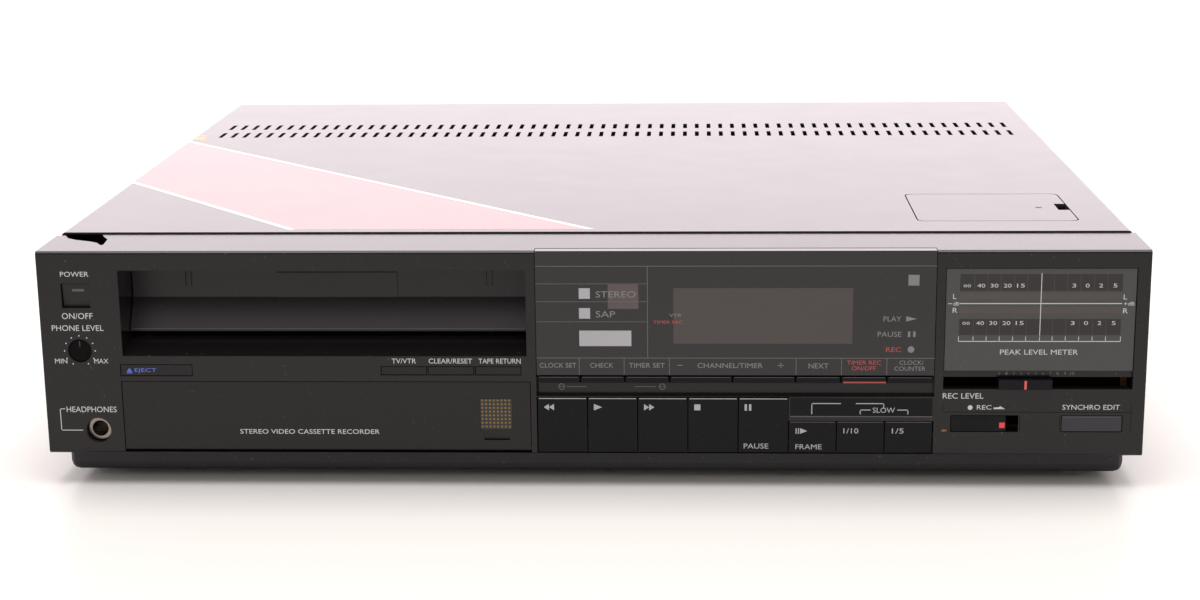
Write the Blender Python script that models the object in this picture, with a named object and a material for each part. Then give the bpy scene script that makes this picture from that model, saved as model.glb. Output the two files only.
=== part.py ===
"""Front-loading video cassette recorder, modelled piece by piece.

Metres, +Z up. X runs along the front from left to right and the front faces -Y.
The origin lies on the ground under the middle of the machine.
"""

import math

import bmesh
import bpy
from mathutils import Matrix, Vector

# Clearances shared by all pieces
SEAT_GAP = 0.0003
RUNNING_GAP = 0.0003
CUT_OVERRUN = 0.002
WELD_DEPTH = 0.0005

# Cassette that the machine takes
CASSETTE_WIDTH = 0.156
CASSETTE_DEPTH = 0.096
CASSETTE_HEIGHT = 0.025

# Body and feet
BEZEL_DEPTH = 0.0325
PLINTH_HEIGHT = 0.010
PLINTH_SETBACK = 0.008
PLINTH_SIDE_SETBACK = 0.005
PLINTH_REAR_SETBACK = 0.007
FOOT_HEIGHT = 0.0035
FOOT_RADIUS = 0.012
FOOT_SIDE_INSET = 0.035
FOOT_END_INSET = 0.040

# Widths along the front, left to right
LEFT_SECTION = 0.0305
RECESS_MARGIN = 0.00135
MOUTH_SIDE_PLAY = 0.0015
PILLAR_WIDTH = 0.0022
CENTRE_SECTION = 0.1546
RIGHT_SECTION = 0.0810

# Heights down the cassette side of the front
RECESS_TOP_MARGIN = 0.0076
RECESS_HEIGHT = 0.0344
UPPER_BAND = 0.0033
EJECT_ROW_HEIGHT = 0.0049
LOWER_BAND = 0.0020
DOOR_POCKET_HEIGHT = 0.0290
BOTTOM_LIP = 0.0008

# Bezel moulding
BEZEL_WALL = 0.0025
BACKING_WALL = 0.0030
BEZEL_EDGE_ROUND = 0.0012
EDGE_ROUND_STEPS = 3
PANEL_POCKET_DEPTH = 0.0029
PANEL_TOP_WRAP = 0.0042
PANEL_TOP_GROOVE = 0.0010
BROKEN_CORNER_WIDTH = 0.0235
BROKEN_CORNER_DEPTH = 0.0210
BROKEN_EDGE_SHARES = ((0.75, 0.00), (0.83, 0.21), (0.96, 0.48), (1.00, 0.93), (0.97, 1.00),
                      (0.85, 0.78), (0.72, 0.67), (0.43, 0.52), (0.25, 0.36), (0.15, 0.12))

# Cassette recess and flap
SLOPE_DEPTH = 0.013
SLOPE_RISE = 0.0045
LINTEL_DEPTH = 0.012
FLAP_DEPTH = 0.020
FLAP_THICKNESS = 0.0020
FLAP_LIP_REACH = 0.0070
FLAP_LIP_HEIGHT = 0.0010
FLAP_FLOOR_GAP = 0.0023
FLAP_SLOPE_HEIGHT = 0.0113
FLAP_HEADROOM = 0.0004
FLAP_BADGE_WIDTH = 0.0480
FLAP_BADGE_HEIGHT = 0.0100
FLAP_BADGE_THICKNESS = 0.0006
FLAP_BADGE_SHIFT = 0.0030
TUNNEL_WALL = 0.0024
TUNNEL_DEPTH = 0.0245

# Pins of the flap and of the doors
PIN_RADIUS = 0.0009
PIN_LENGTH = 0.0015

# Push buttons: each has a flange that keeps it behind its opening
BUTTON_SETBACK = 0.0002
BUTTON_FLANGE = 0.0014
BUTTON_FLANGE_REACH = 0.0010
EJECT_WIDTH = 0.0287
ROW_BUTTON_WIDTH = 0.0185
ROW_BUTTON_HEIGHT = 0.0037
ROW_BUTTON_DROP = 0.0007
ROW_BUTTON_RIGHT_MARGIN = 0.0032

# Control compartment and its drop-down door
COMPARTMENT_DEPTH = 0.0280
COMPARTMENT_WALL = 0.0020
DOOR_THICKNESS = 0.0024
DOOR_AXIS_HEIGHT = 0.0013
DOOR_POCKET_FLOOR = 0.0032
FINGER_SLOT_WIDTH = 0.0100
FINGER_SLOT_HEIGHT = 0.0013
FINGER_SLOT_DEPTH = 0.0012
FINGER_SLOT_RIGHT = 0.0086
FINGER_SLOT_RISE = 0.0050
BADGE_RECESS_SIZE = 0.0130
BADGE_RECESS_DEPTH = 0.0003
BADGE_RECESS_RIGHT = 0.0072
BADGE_RECESS_RISE = 0.0092
TRACKING_KNOB_RADIUS = 0.0065
TRACKING_KNOB_LENGTH = 0.0100
TRACKING_SHAFT_RADIUS = 0.0022
TRACKING_SHAFT_LENGTH = 0.0060
SWITCH_NUB_WIDTH = 0.0050
SWITCH_NUB_HEIGHT = 0.0040
SWITCH_NUB_LENGTH = 0.0050
SWITCH_TRAVEL = 0.0050
SWITCH_PLATE_REACH = 0.0040
CONTROL_PLACE_SHARES = {
    "tracking_knob": 0.80,
    "speed_switch": 0.20,
}

# Left column: power button, headphone level knob and headphone socket
POWER_LEFT = 0.0092
POWER_TOP = 0.0128
POWER_WIDTH = 0.0112
POWER_HEIGHT = 0.0098
POWER_FACE_SETBACK = 0.0008
POWER_FACE_SLOPE = 0.0010
KNOB_ACROSS = 0.0150
KNOB_DOWN = 0.0399
KNOB_RADIUS = 0.0044
KNOB_SETBACK = 0.0003
KNOB_SHAFT_RADIUS = 0.0030
JACK_ACROSS = 0.0202
JACK_DOWN = 0.0725
JACK_HOLE_RADIUS = 0.0051
JACK_BOSS_WALL = 0.0018
JACK_BOSS_DEPTH = 0.0060
JACK_COLLAR_RADIUS = 0.0046
JACK_COLLAR_SETBACK = 0.0030
JACK_BORE_RADIUS = 0.00325
JACK_BORE_LENGTH = 0.0170
JACK_BODY_SIZE = 0.0120
JACK_BODY_LENGTH = 0.0180

# Centre section: smoked panel, small buttons and transport keys
STRIP_HEIGHT = 0.0089
KEY_POCKET_HEIGHT = 0.0228
KEY_BANK_WIDTH = 0.0984
SLOW_POCKET_HEIGHT = 0.0132
SMALL_BUTTON_DROP = 0.0007
SMALL_BUTTON_HEIGHT = 0.0031
SMALL_BUTTON_PROUD = 0.0017
KEY_SPACING = 0.0004
KEY_FLANGE_REACH = 0.0020
KEY_POCKET_DEPTH = 0.0105
KEY_NAMES = ("rewind_key", "play_key", "forward_key", "stop_key", "pause_key")
SLOW_KEY_NAMES = ("frame_key", "slow_tenth_key", "slow_fifth_key")
SMALL_BUTTON_NAMES = (
    "clock_set_button",
    "check_button",
    "timer_set_button",
    "channel_down_button",
    "channel_up_button",
    "next_button",
    "timer_record_button",
    "counter_button",
)
SMALL_BUTTON_SHARES = (0.0, 0.110, 0.223, 0.336, 0.495, 0.654, 0.768, 0.883, 1.0)
DISPLAY_LEFT = 0.0520
DISPLAY_TOP = 0.0130
DISPLAY_WIDTH = 0.0730
DISPLAY_HEIGHT = 0.0255
DISPLAY_THICKNESS = 0.0060
TUBE_OVERLAP = 0.0020

# Right section: level meter, recording level slider, record key and edit button
METER_LEFT = 0.0033
METER_TOP = 0.0069
METER_WIDTH = 0.0727
METER_HEIGHT = 0.0410
METER_LENS_THICKNESS = 0.0018
METER_LENS_SETBACK = 0.0004
METER_APERTURE_MARGIN = 0.0050
METER_APERTURE_HEIGHT = 0.0270
SCALE_STRIP = 0.0026
SLIDER_SLOT_HEIGHT = 0.0045
SLIDER_ACROSS = 0.0347
SLIDER_WIDTH = 0.0205
SLIDER_PROUD = 0.0020
SLIDER_FLANGE = 0.0012
RECORD_LEFT = 0.0065
RECORD_WIDTH = 0.0217
RECORD_TRAVEL_ROOM = 0.0045
RECORD_ROW_RISE = 0.0097
RECORD_ROW_HEIGHT = 0.0068
EDIT_LEFT = 0.0492
EDIT_WIDTH = 0.0236

# Boards behind the front
BOARD_THICKNESS = 0.0016
FRONT_BOARD_DEPTH = 0.0140
LEFT_BOARD_DEPTH = 0.0246
BOARD_MARGIN = 0.0020
BOARD_TOP_MARGIN = 0.0060
POST_RADIUS = 0.0022
POST_INSET = 0.0050
POT_SIZE = 0.0090
POT_LENGTH = 0.0080
PUSH_ROOM = 0.0030

# Cover: folded sheet with two rows of slots and an opening for the lid
SHEET = 0.0008
COVER_STEP = 0.0006
COVER_INSET = 0.0008
COVER_SEAM = 0.0007
COVER_FLANGE = 0.0060
COVER_FOLD_ROUND = 0.0016
VENT_COUNT = 67
VENT_PITCH = 0.00607
VENT_WIDTH = 0.0020
VENT_LENGTH = 0.0142
VENT_FAR_FROM_REAR = 0.0802
VENT_ROW_SPACING = 0.0246
LID_LEFT = 0.3470
LID_DEPTH_START = 0.0530
LID_WIDTH = 0.0644
LID_DEPTH = 0.0565
LID_THICKNESS = 0.0016
LID_GAP = 0.0005
LID_CORNER = 0.0030
LID_AXIS_DROP = 0.0004
LID_NOTCH_LENGTH = 0.0130
LID_NOTCH_WIDTH = 0.0045
WELL_WALL = 0.0015
WELL_HEIGHT = 0.0120
WELL_RIM = 0.0040

# Tray, rear panel and what they carry
TRAY_WALL = 0.0020
TRAY_EDGE_ROUND = 0.0040
REAR_PANEL_RECESS = 0.0085
REAR_PANEL_WALL = 0.0015
DECK_POST_RADIUS = 0.0040
DECK_RISE = 0.0248
MAIN_BOARD_RISE = 0.0145
BOARD_POST_RADIUS = 0.0030
MAIN_BOARD_LEFT = 0.2120
MAIN_BOARD_WIDTH = 0.2040
MAIN_BOARD_START = 0.0600
BOARD_TRANSFORMER_CLEARANCE = 0.0050
TRANSFORMER_LEFT = 0.3400
TRANSFORMER_WIDTH = 0.0660
TRANSFORMER_REAR_CLEARANCE = 0.0150
TRANSFORMER_DEPTH = 0.0460
TRANSFORMER_HEIGHT = 0.0520
TRANSFORMER_COIL_INSET = 0.0100
TRANSFORMER_COIL_HEIGHT = 0.0300
TRANSFORMER_COIL_REACH = 0.0060
TUNER_LEFT = 0.0240
TUNER_WIDTH = 0.0700
TUNER_DEPTH = 0.0400
TUNER_HEIGHT = 0.0480
TUNER_PAD_SIZE = 0.0200
CONNECTOR_RADIUS = 0.0047
CONNECTOR_BORE = 0.0012
CONNECTOR_REACH = 0.0075
CONNECTOR_SPACING = 0.0260
JACK_BLOCK_LEFT = 0.1200
JACK_BLOCK_DEPTH = 0.0140
JACK_BLOCK_PITCH = 0.0150
JACK_COLUMNS = 3
JACK_ROWS = 2
PHONO_RADIUS = 0.0042
PHONO_BORE = 0.0016
PHONO_REACH = 0.0060
GLAND_ACROSS = 0.3900
GLAND_RISE = 0.0180
GLAND_RADIUS = 0.0065
GLAND_FLANGE_RADIUS = 0.0085
GLAND_BORE = 0.0034
GLAND_REACH = 0.0060
GLAND_FLANGE = 0.0015

# Cassette lift: fixed side frame, carriage that runs in, basket that drops
LIFT_WALL = 0.0012
BASKET_WALL = 0.0010
BASKET_SIDE_PLAY = 0.0020
BASKET_PLAY = 0.0012
BASKET_START = 0.0550
BASKET_TRAVEL_IN = 0.0400
BASKET_TRAVEL_DOWN = 0.0180
CARRIAGE_START = 0.0620
CARRIAGE_DEPTH = 0.0400
CARRIAGE_CHEEK_HEIGHT = 0.0260
BASKET_WINDOW_MARGIN = 0.0200
LIFT_BAR_WIDTH = 0.0080
LIFT_FOOT = 0.0060

# Deck and tape transport
DECK_MARGIN = 0.0060
DECK_THICKNESS = 0.0015
DECK_START = 0.0470
DECK_RING_MARGIN = 0.0010
TUNER_DECK_CLEARANCE = 0.0193
DRUM_RADIUS = 0.0372
DRUM_LOWER_HEIGHT = 0.0157
DRUM_UPPER_HEIGHT = 0.0156
DRUM_SHAFT_RADIUS = 0.0060
DRUM_GAP = 0.0004
RING_INNER_RADIUS = 0.0460
RING_OUTER_RADIUS = 0.0560
RING_THICKNESS = 0.0030
RING_PAD_RADIUS = 0.0030
RING_PAD_HEIGHT = 0.0017
RING_PAD_COUNT = 4
RING_POST_RADIUS = 0.0015
RING_POST_HEIGHT = 0.0060
DRUM_BASKET_CLEARANCE = 0.0200
REEL_RADIUS = 0.0220
REEL_DISC = 0.0025
REEL_HUB_RADIUS = 0.0070
REEL_RISE = 0.0010
REEL_BASKET_CLEARANCE = 0.0010
REEL_SPACING = 0.0680
REEL_SHAFT_RADIUS = 0.0020
CAPSTAN_RADIUS = 0.0020
CAPSTAN_ACROSS = 0.0540
CAPSTAN_BASKET_CLEARANCE = 0.0040
CAPSTAN_RISE = 0.0320
FLYWHEEL_RADIUS = 0.0250
FLYWHEEL_THICKNESS = 0.0080
FLYWHEEL_DROP = 0.0030
RING_POST_SHARES = (0.03, 0.07, 0.11)
CAPACITOR_SHARES = ((0.10, 0.90, 0.035, 0.14), (0.88, 0.74, 0.040, 0.16), (0.90, 0.56, 0.030, 0.12),
                    (0.72, 0.64, 0.022, 0.09))
SHIELD_SHARES = ((0.08, 0.10, 0.34, 0.22, 0.08), (0.52, 0.10, 0.38, 0.16, 0.06),
                 (0.12, 0.44, 0.20, 0.24, 0.07), (0.42, 0.46, 0.16, 0.10, 0.03))

# Facets of round pieces
SMALL_FACETS = 16
ROUND_FACETS = 28
LARGE_FACETS = 40
SHARP_ANGLE = 35

# Places worked out from the sizes above
recess_width = CASSETTE_WIDTH + 2 * MOUTH_SIDE_PLAY
cassette_section = recess_width + 2 * RECESS_MARGIN
bezel_height = (RECESS_TOP_MARGIN + RECESS_HEIGHT + UPPER_BAND + EJECT_ROW_HEIGHT
                + LOWER_BAND + DOOR_POCKET_HEIGHT + BOTTOM_LIP)
body_width = LEFT_SECTION + cassette_section + PILLAR_WIDTH + CENTRE_SECTION + RIGHT_SECTION
mechanism_depth = (BASKET_START + CASSETTE_DEPTH + BASKET_WALL + BASKET_PLAY + BASKET_TRAVEL_IN
                   + DRUM_BASKET_CLEARANCE + DRUM_RADIUS + RING_OUTER_RADIUS + DECK_RING_MARGIN)
body_depth = (mechanism_depth + TUNER_DECK_CLEARANCE + TUNER_DEPTH + SEAT_GAP + REAR_PANEL_WALL
              + REAR_PANEL_RECESS)
left = -body_width / 2
right = body_width / 2
front = (SLIDER_PROUD - body_depth) / 2
rear = front + body_depth
tray_bottom = FOOT_HEIGHT
bezel_bottom = tray_bottom + PLINTH_HEIGHT
bezel_top = bezel_bottom + bezel_height
cover_top = bezel_top + COVER_STEP
cassette_left = left + LEFT_SECTION
cassette_right = cassette_left + cassette_section
cassette_middle = (cassette_left + cassette_right) / 2
centre_left = cassette_right + PILLAR_WIDTH
centre_right = centre_left + CENTRE_SECTION
recess_top = bezel_top - RECESS_TOP_MARGIN
recess_bottom = recess_top - RECESS_HEIGHT
tunnel_floor = recess_bottom + SLOPE_RISE
eject_top = recess_bottom - UPPER_BAND
eject_bottom = eject_top - EJECT_ROW_HEIGHT
door_pocket_top = eject_bottom - LOWER_BAND
door_pocket_bottom = bezel_bottom + BOTTOM_LIP
key_pocket_top = door_pocket_bottom + KEY_POCKET_HEIGHT
slow_pocket_top = door_pocket_bottom + SLOW_POCKET_HEIGHT
panel_bottom = key_pocket_top + STRIP_HEIGHT
backing_rear = front + BEZEL_WALL + BACKING_WALL
tray_floor = tray_bottom + TRAY_WALL
deck_bottom = tray_floor + DECK_RISE
deck_top = deck_bottom + DECK_THICKNESS
cover_left = left + COVER_INSET
cover_right = right - COVER_INSET
cover_front = front + BEZEL_DEPTH + COVER_SEAM
rear_panel_rear = rear - REAR_PANEL_RECESS
rear_panel_front = rear_panel_rear - REAR_PANEL_WALL
transformer_front = rear_panel_front - TRANSFORMER_REAR_CLEARANCE - TRANSFORMER_DEPTH


def clear_scene():
    for item in list(bpy.data.objects):
        bpy.data.objects.remove(item, do_unlink=True)


def material(name, colour, roughness, metallic=0.0):
    """Principled material shared by every piece that asks for the same name."""
    found = bpy.data.materials.get(name)
    if found:
        return found
    made = bpy.data.materials.new(name)
    made.use_nodes = True
    shader = made.node_tree.nodes["Principled BSDF"]
    shader.inputs["Base Color"].default_value = (*colour, 1.0)
    shader.inputs["Roughness"].default_value = roughness
    shader.inputs["Metallic"].default_value = metallic
    return made


def dark_plastic():
    return material("dark_plastic", (0.050, 0.045, 0.050), 0.45)


def key_plastic():
    return material("key_plastic", (0.018, 0.018, 0.024), 0.40)


def black_plastic():
    return material("black_plastic", (0.010, 0.010, 0.012), 0.50)


def painted_sheet():
    return material("painted_sheet", (0.060, 0.052, 0.055), 0.42)


def bare_steel():
    return material("bare_steel", (0.55, 0.55, 0.56), 0.35, 1.0)


def cast_alloy():
    return material("cast_alloy", (0.62, 0.63, 0.65), 0.30, 1.0)


def board_laminate():
    return material("board_laminate", (0.28, 0.20, 0.08), 0.55)


def smoked_lens():
    return material("smoked_lens", (0.040, 0.038, 0.040), 0.12)


def grey_lens():
    return material("grey_lens", (0.20, 0.20, 0.21), 0.15)


def rubber():
    return material("rubber", (0.012, 0.012, 0.012), 0.85)


def place(name, mesh, look, origin=(0.0, 0.0, 0.0)):
    """Names a mesh drawn in world coordinates and puts its origin where asked."""
    anchor = Vector(origin)
    mesh.transform(Matrix.Translation(-anchor))
    item = bpy.data.objects.new(name, mesh)
    item.location = anchor
    item.data.materials.append(look)
    bpy.context.collection.objects.link(item)
    return item


def mesh_from(builder, name):
    bmesh.ops.recalc_face_normals(builder, faces=builder.faces)
    mesh = bpy.data.meshes.new(name)
    builder.to_mesh(mesh)
    builder.free()
    return mesh


def add_box(builder, low, high):
    """Adds a box given by its low and high corners."""
    size = [high[axis] - low[axis] for axis in range(3)]
    middle = [(high[axis] + low[axis]) / 2 for axis in range(3)]
    grown = Matrix.Translation(middle) @ Matrix.Diagonal((*size, 1.0))
    bmesh.ops.create_cube(builder, size=1.0, matrix=grown)


def boxes(name, spans):
    builder = bmesh.new()
    for low, high in spans:
        add_box(builder, low, high)
    return mesh_from(builder, name)


def add_prism(builder, outline, axis, start, end):
    """Adds an outline of two coordinates swept along the third, X, Y or Z."""
    def corner(point, along):
        if axis == "X":
            return (along, point[0], point[1])
        if axis == "Y":
            return (point[0], along, point[1])
        return (point[0], point[1], along)

    first = [builder.verts.new(corner(point, start)) for point in outline]
    last = [builder.verts.new(corner(point, end)) for point in outline]
    builder.faces.new(first)
    builder.faces.new(last[::-1])
    count = len(outline)
    for index in range(count):
        following = (index + 1) % count
        builder.faces.new((first[following], first[index], last[index], last[following]))


def prism(name, outline, axis, start, end):
    builder = bmesh.new()
    add_prism(builder, outline, axis, start, end)
    return mesh_from(builder, name)


def arc_points(middle, radius, start, end, steps):
    """Points on an arc, both ends included; angles in degrees."""
    points = []
    for index in range(steps + 1):
        angle = math.radians(start + (end - start) * index / steps)
        points.append((middle[0] + radius * math.cos(angle),
                       middle[1] + radius * math.sin(angle)))
    return points


def circle_points(middle, radius, facets):
    return arc_points(middle, radius, 0, 360 * (facets - 1) / facets, facets - 1)


def add_cylinder(builder, middle, radius, axis, start, end, facets):
    add_prism(builder, circle_points(middle, radius, facets), axis, start, end)


def add_turned(builder, centre, profile, facets):
    """Adds a closed profile of (radius, height) points turned about a vertical axis."""
    rings = []
    for radius, height in profile:
        ring = []
        for point in circle_points(centre, radius, facets):
            ring.append(builder.verts.new((point[0], point[1], height)))
        rings.append(ring)
    for index, ring in enumerate(rings):
        other = rings[(index + 1) % len(rings)]
        for step in range(facets):
            ahead = (step + 1) % facets
            builder.faces.new((ring[step], ring[ahead], other[ahead], other[step]))


def helper(name, mesh):
    """A cutting or joining body: a wire guide that isn't part of the machine."""
    item = bpy.data.objects.new(name, mesh)
    item.hide_render = True
    item.display_type = "WIRE"
    bpy.context.collection.objects.link(item)
    return item


def combine(item, mesh, operation):
    """Cuts or joins a mesh with an item; the mesh is drawn in world coordinates."""
    guide = helper(f"{item.name}_{operation.lower()}_{len(item.modifiers)}", mesh)
    change = item.modifiers.new(guide.name, "BOOLEAN")
    change.operation = operation
    change.solver = "EXACT"
    change.object = guide


def cut(item, mesh):
    combine(item, mesh, "DIFFERENCE")


def join(item, mesh):
    combine(item, mesh, "UNION")


def smooth_round(item):
    """Shades the round faces smooth and keeps the corners sharp."""
    item.data.shade_smooth()
    item.data.set_sharp_from_angle(angle=math.radians(SHARP_ANGLE))


def round_edges(item, width):
    edge = item.modifiers.new("rounded_edges", "BEVEL")
    edge.width = width
    edge.segments = EDGE_ROUND_STEPS
    edge.limit_method = "ANGLE"


def feet():
    """Four round rubber feet under the tray."""
    for side, x in (("left", left + FOOT_SIDE_INSET), ("right", right - FOOT_SIDE_INSET)):
        for end, y in (("front", front + FOOT_END_INSET), ("rear", rear - FOOT_END_INSET)):
            builder = bmesh.new()
            top = tray_bottom - SEAT_GAP
            add_cylinder(builder, (x, y), FOOT_RADIUS, "Z", 0.0, top, ROUND_FACETS)
            name = f"foot_{end}_{side}"
            foot = place(name, mesh_from(builder, name), rubber())
            smooth_round(foot)


def bezel_outline():
    """Side profile of the moulding: front edges rounded, rear open edges square."""
    radius = BEZEL_EDGE_ROUND
    upper = arc_points((front + radius, bezel_top - radius), radius, 90, 180, EDGE_ROUND_STEPS)
    lower = arc_points((front + radius, bezel_bottom + radius), radius, 180, 270,
                       EDGE_ROUND_STEPS)
    back = front + BEZEL_DEPTH
    return [(back, bezel_top)] + upper + lower + [(back, bezel_bottom)]


def recess_outline():
    """Cassette recess from the front: sloped sill, flat floor and a lintel over the flap."""
    outside = front - CUT_OVERRUN
    inside = front + TUNNEL_DEPTH + CUT_OVERRUN
    ceiling = bezel_top - BEZEL_WALL - FLAP_HEADROOM
    return [
        (outside, recess_bottom),
        (front, recess_bottom),
        (front + SLOPE_DEPTH, tunnel_floor),
        (inside, tunnel_floor),
        (inside, ceiling),
        (front + LINTEL_DEPTH, ceiling),
        (front + LINTEL_DEPTH, recess_top),
        (outside, recess_top),
    ]


def flap_axis():
    """Depth and height of the flap's pins."""
    half = FLAP_THICKNESS / 2
    ceiling = bezel_top - BEZEL_WALL - FLAP_HEADROOM
    return front + FLAP_DEPTH + half, ceiling - half - FLAP_HEADROOM


def door_axis():
    """Depth and height of the drop-down door's pins."""
    middle = front + BUTTON_SETBACK + DOOR_THICKNESS / 2
    return middle, door_pocket_bottom + RUNNING_GAP + DOOR_AXIS_HEIGHT


def control_places():
    """Middle of each control on the compartment's rear wall."""
    inner_left = cassette_left + COMPARTMENT_WALL
    inner_width = cassette_section - 2 * COMPARTMENT_WALL
    height = (door_pocket_top + door_pocket_bottom) / 2
    return {name: (inner_left + share * inner_width, height)
            for name, share in CONTROL_PLACE_SHARES.items()}


def bezel_blocks():
    """Solid stock behind the front wall: recess tunnel, compartment, backing and bosses."""
    start = front + BEZEL_WALL - WELD_DEPTH
    top = bezel_top - BEZEL_WALL + WELD_DEPTH
    bottom = bezel_bottom + BEZEL_WALL - WELD_DEPTH
    tunnel = ((cassette_left - TUNNEL_WALL, start, recess_bottom - TUNNEL_WALL),
              (cassette_right + TUNNEL_WALL, front + TUNNEL_DEPTH, top))
    compartment = ((cassette_left - TUNNEL_WALL, start, bottom),
                   (cassette_right + TUNNEL_WALL, front + COMPARTMENT_DEPTH,
                    door_pocket_top + LOWER_BAND / 2))
    backing = ((cassette_right + TUNNEL_WALL + WELD_DEPTH, start, bottom),
               (right - BEZEL_WALL + WELD_DEPTH, backing_rear, top))
    return [tunnel, compartment, backing]


def bezel_posts(builder):
    """Round bosses that carry the two boards behind the front."""
    start = front + BEZEL_WALL - WELD_DEPTH
    for x, z in front_board_posts():
        add_cylinder(builder, (x, z), POST_RADIUS, "Y", start,
                     front + FRONT_BOARD_DEPTH - SEAT_GAP, SMALL_FACETS)
    for x, z in left_board_posts():
        add_cylinder(builder, (x, z), POST_RADIUS, "Y", start,
                     front + LEFT_BOARD_DEPTH - SEAT_GAP, SMALL_FACETS)
    socket = (left + JACK_ACROSS, bezel_top - JACK_DOWN)
    add_cylinder(builder, socket, JACK_HOLE_RADIUS + JACK_BOSS_WALL, "Y", start,
                 front + JACK_BOSS_DEPTH, ROUND_FACETS)


def front_board_span():
    """Left, right, bottom and top of the board behind the centre and right sections."""
    low = bezel_bottom + BOARD_TOP_MARGIN
    high = bezel_top - BOARD_TOP_MARGIN
    edge = cassette_right + TUNNEL_WALL + BOARD_MARGIN
    return edge, right - BEZEL_WALL - BOARD_MARGIN, low, high


def front_board_posts():
    _, end, _, high = front_board_span()
    return [(end - POST_INSET / 2, high - POST_INSET / 2),
            (centre_right + POST_INSET / 2, high - POST_INSET / 2),
            (end - POST_INSET / 2,
             bezel_bottom + RECORD_ROW_RISE + RECORD_ROW_HEIGHT + POST_INSET),
            (centre_left + POST_INSET, panel_bottom + POST_INSET)]


def left_board_span():
    low = bezel_bottom + BOARD_TOP_MARGIN
    high = bezel_top - BOARD_TOP_MARGIN
    return left + BEZEL_WALL + BOARD_MARGIN, cassette_left - TUNNEL_WALL - BOARD_MARGIN, low, high


def left_board_posts():
    start, end, low, high = left_board_span()
    return [(start + POST_INSET / 2, high - POST_INSET / 2),
            (end - POST_INSET / 2, (low + high) / 2),
            (start + POST_INSET / 2, low + POST_INSET / 2)]


def opening(x_low, x_high, z_low, z_high, depth):
    """Box cut from in front of the bezel down to a depth behind its front face."""
    return (x_low, front - CUT_OVERRUN, z_low), (x_high, front + depth, z_high)


def meter_span():
    """Left, right, bottom and top of the level meter's window."""
    start = centre_right + METER_LEFT
    top = bezel_top - METER_TOP
    return start, start + METER_WIDTH, top - METER_HEIGHT, top


def slider_slot_span():
    start, end, bottom, _ = meter_span()
    top = bottom - SCALE_STRIP
    return start, end, top - SLIDER_SLOT_HEIGHT, top


def row_button_spans():
    """Openings of the three buttons beside EJECT, left to right."""
    end = cassette_right - ROW_BUTTON_RIGHT_MARGIN
    top = eject_top - ROW_BUTTON_DROP
    spans = []
    for place_from_right in (3, 2, 1):
        start = end - place_from_right * ROW_BUTTON_WIDTH
        spans.append((start, start + ROW_BUTTON_WIDTH - SEAT_GAP,
                      top - ROW_BUTTON_HEIGHT, top))
    return spans


def small_button_row():
    """Bottom and top of the slot for the small buttons under the smoked panel."""
    top = panel_bottom - SMALL_BUTTON_DROP
    return top - SMALL_BUTTON_HEIGHT, top


def bezel_front_openings():
    """Openings that pass through the front wall or form its pockets."""
    deep = BEZEL_WALL + BACKING_WALL + CUT_OVERRUN
    thin = BEZEL_WALL + CUT_OVERRUN
    power_left = left + POWER_LEFT
    power_top = bezel_top - POWER_TOP
    bank_right = centre_left + KEY_BANK_WIDTH
    small_low, small_high = small_button_row()
    meter_left, meter_right, meter_bottom, meter_top = meter_span()
    slot_left, slot_right, slot_bottom, slot_top = slider_slot_span()
    record_left = centre_right + RECORD_LEFT
    record_right = record_left + RECORD_WIDTH + RECORD_TRAVEL_ROOM
    edit_left = centre_right + EDIT_LEFT
    row_bottom = bezel_bottom + RECORD_ROW_RISE
    row_top = row_bottom + RECORD_ROW_HEIGHT
    aperture_left = meter_left + METER_APERTURE_MARGIN
    aperture_right = meter_right - METER_APERTURE_MARGIN
    aperture_bottom = meter_top - METER_APERTURE_MARGIN / 2 - METER_APERTURE_HEIGHT
    display_left = centre_left + DISPLAY_LEFT
    display_top = bezel_top - DISPLAY_TOP
    lens_pocket = METER_LENS_SETBACK + METER_LENS_THICKNESS + SEAT_GAP
    spans = [
        opening(cassette_left, cassette_left + EJECT_WIDTH, eject_bottom, eject_top, thin),
        opening(power_left, power_left + POWER_WIDTH, power_top - POWER_HEIGHT, power_top, thin),
        opening(cassette_left, cassette_right, door_pocket_bottom, door_pocket_top,
                DOOR_POCKET_FLOOR),
        opening(centre_left, centre_right, key_pocket_top + SEAT_GAP, bezel_top + CUT_OVERRUN,
                PANEL_POCKET_DEPTH),
        opening(centre_left, centre_right, bezel_top - BEZEL_WALL / 2, bezel_top + CUT_OVERRUN,
                PANEL_TOP_WRAP + PANEL_TOP_GROOVE),
        opening(display_left, display_left + DISPLAY_WIDTH, display_top - DISPLAY_HEIGHT,
                display_top, deep),
        opening(centre_left + SEAT_GAP, centre_right - SEAT_GAP, small_low, small_high, deep),
        opening(centre_left, bank_right, door_pocket_bottom, key_pocket_top, KEY_POCKET_DEPTH),
        opening(bank_right - CUT_OVERRUN, centre_right, door_pocket_bottom, slow_pocket_top,
                KEY_POCKET_DEPTH),
        opening(meter_left, meter_right, meter_bottom, meter_top, lens_pocket),
        opening(meter_left, meter_right, slot_top - SEAT_GAP, meter_bottom + SEAT_GAP,
                METER_LENS_THICKNESS),
        opening(aperture_left, aperture_right, aperture_bottom,
                aperture_bottom + METER_APERTURE_HEIGHT, deep),
        opening(slot_left, slot_right, slot_bottom, slot_top, deep),
        opening(record_left, record_right, row_bottom, row_top, deep),
        opening(edit_left, edit_left + EDIT_WIDTH, row_bottom, row_top, deep),
    ]
    for x_low, x_high, z_low, z_high in row_button_spans():
        spans.append(opening(x_low, x_high, z_low, z_high, thin))
    return spans


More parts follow.
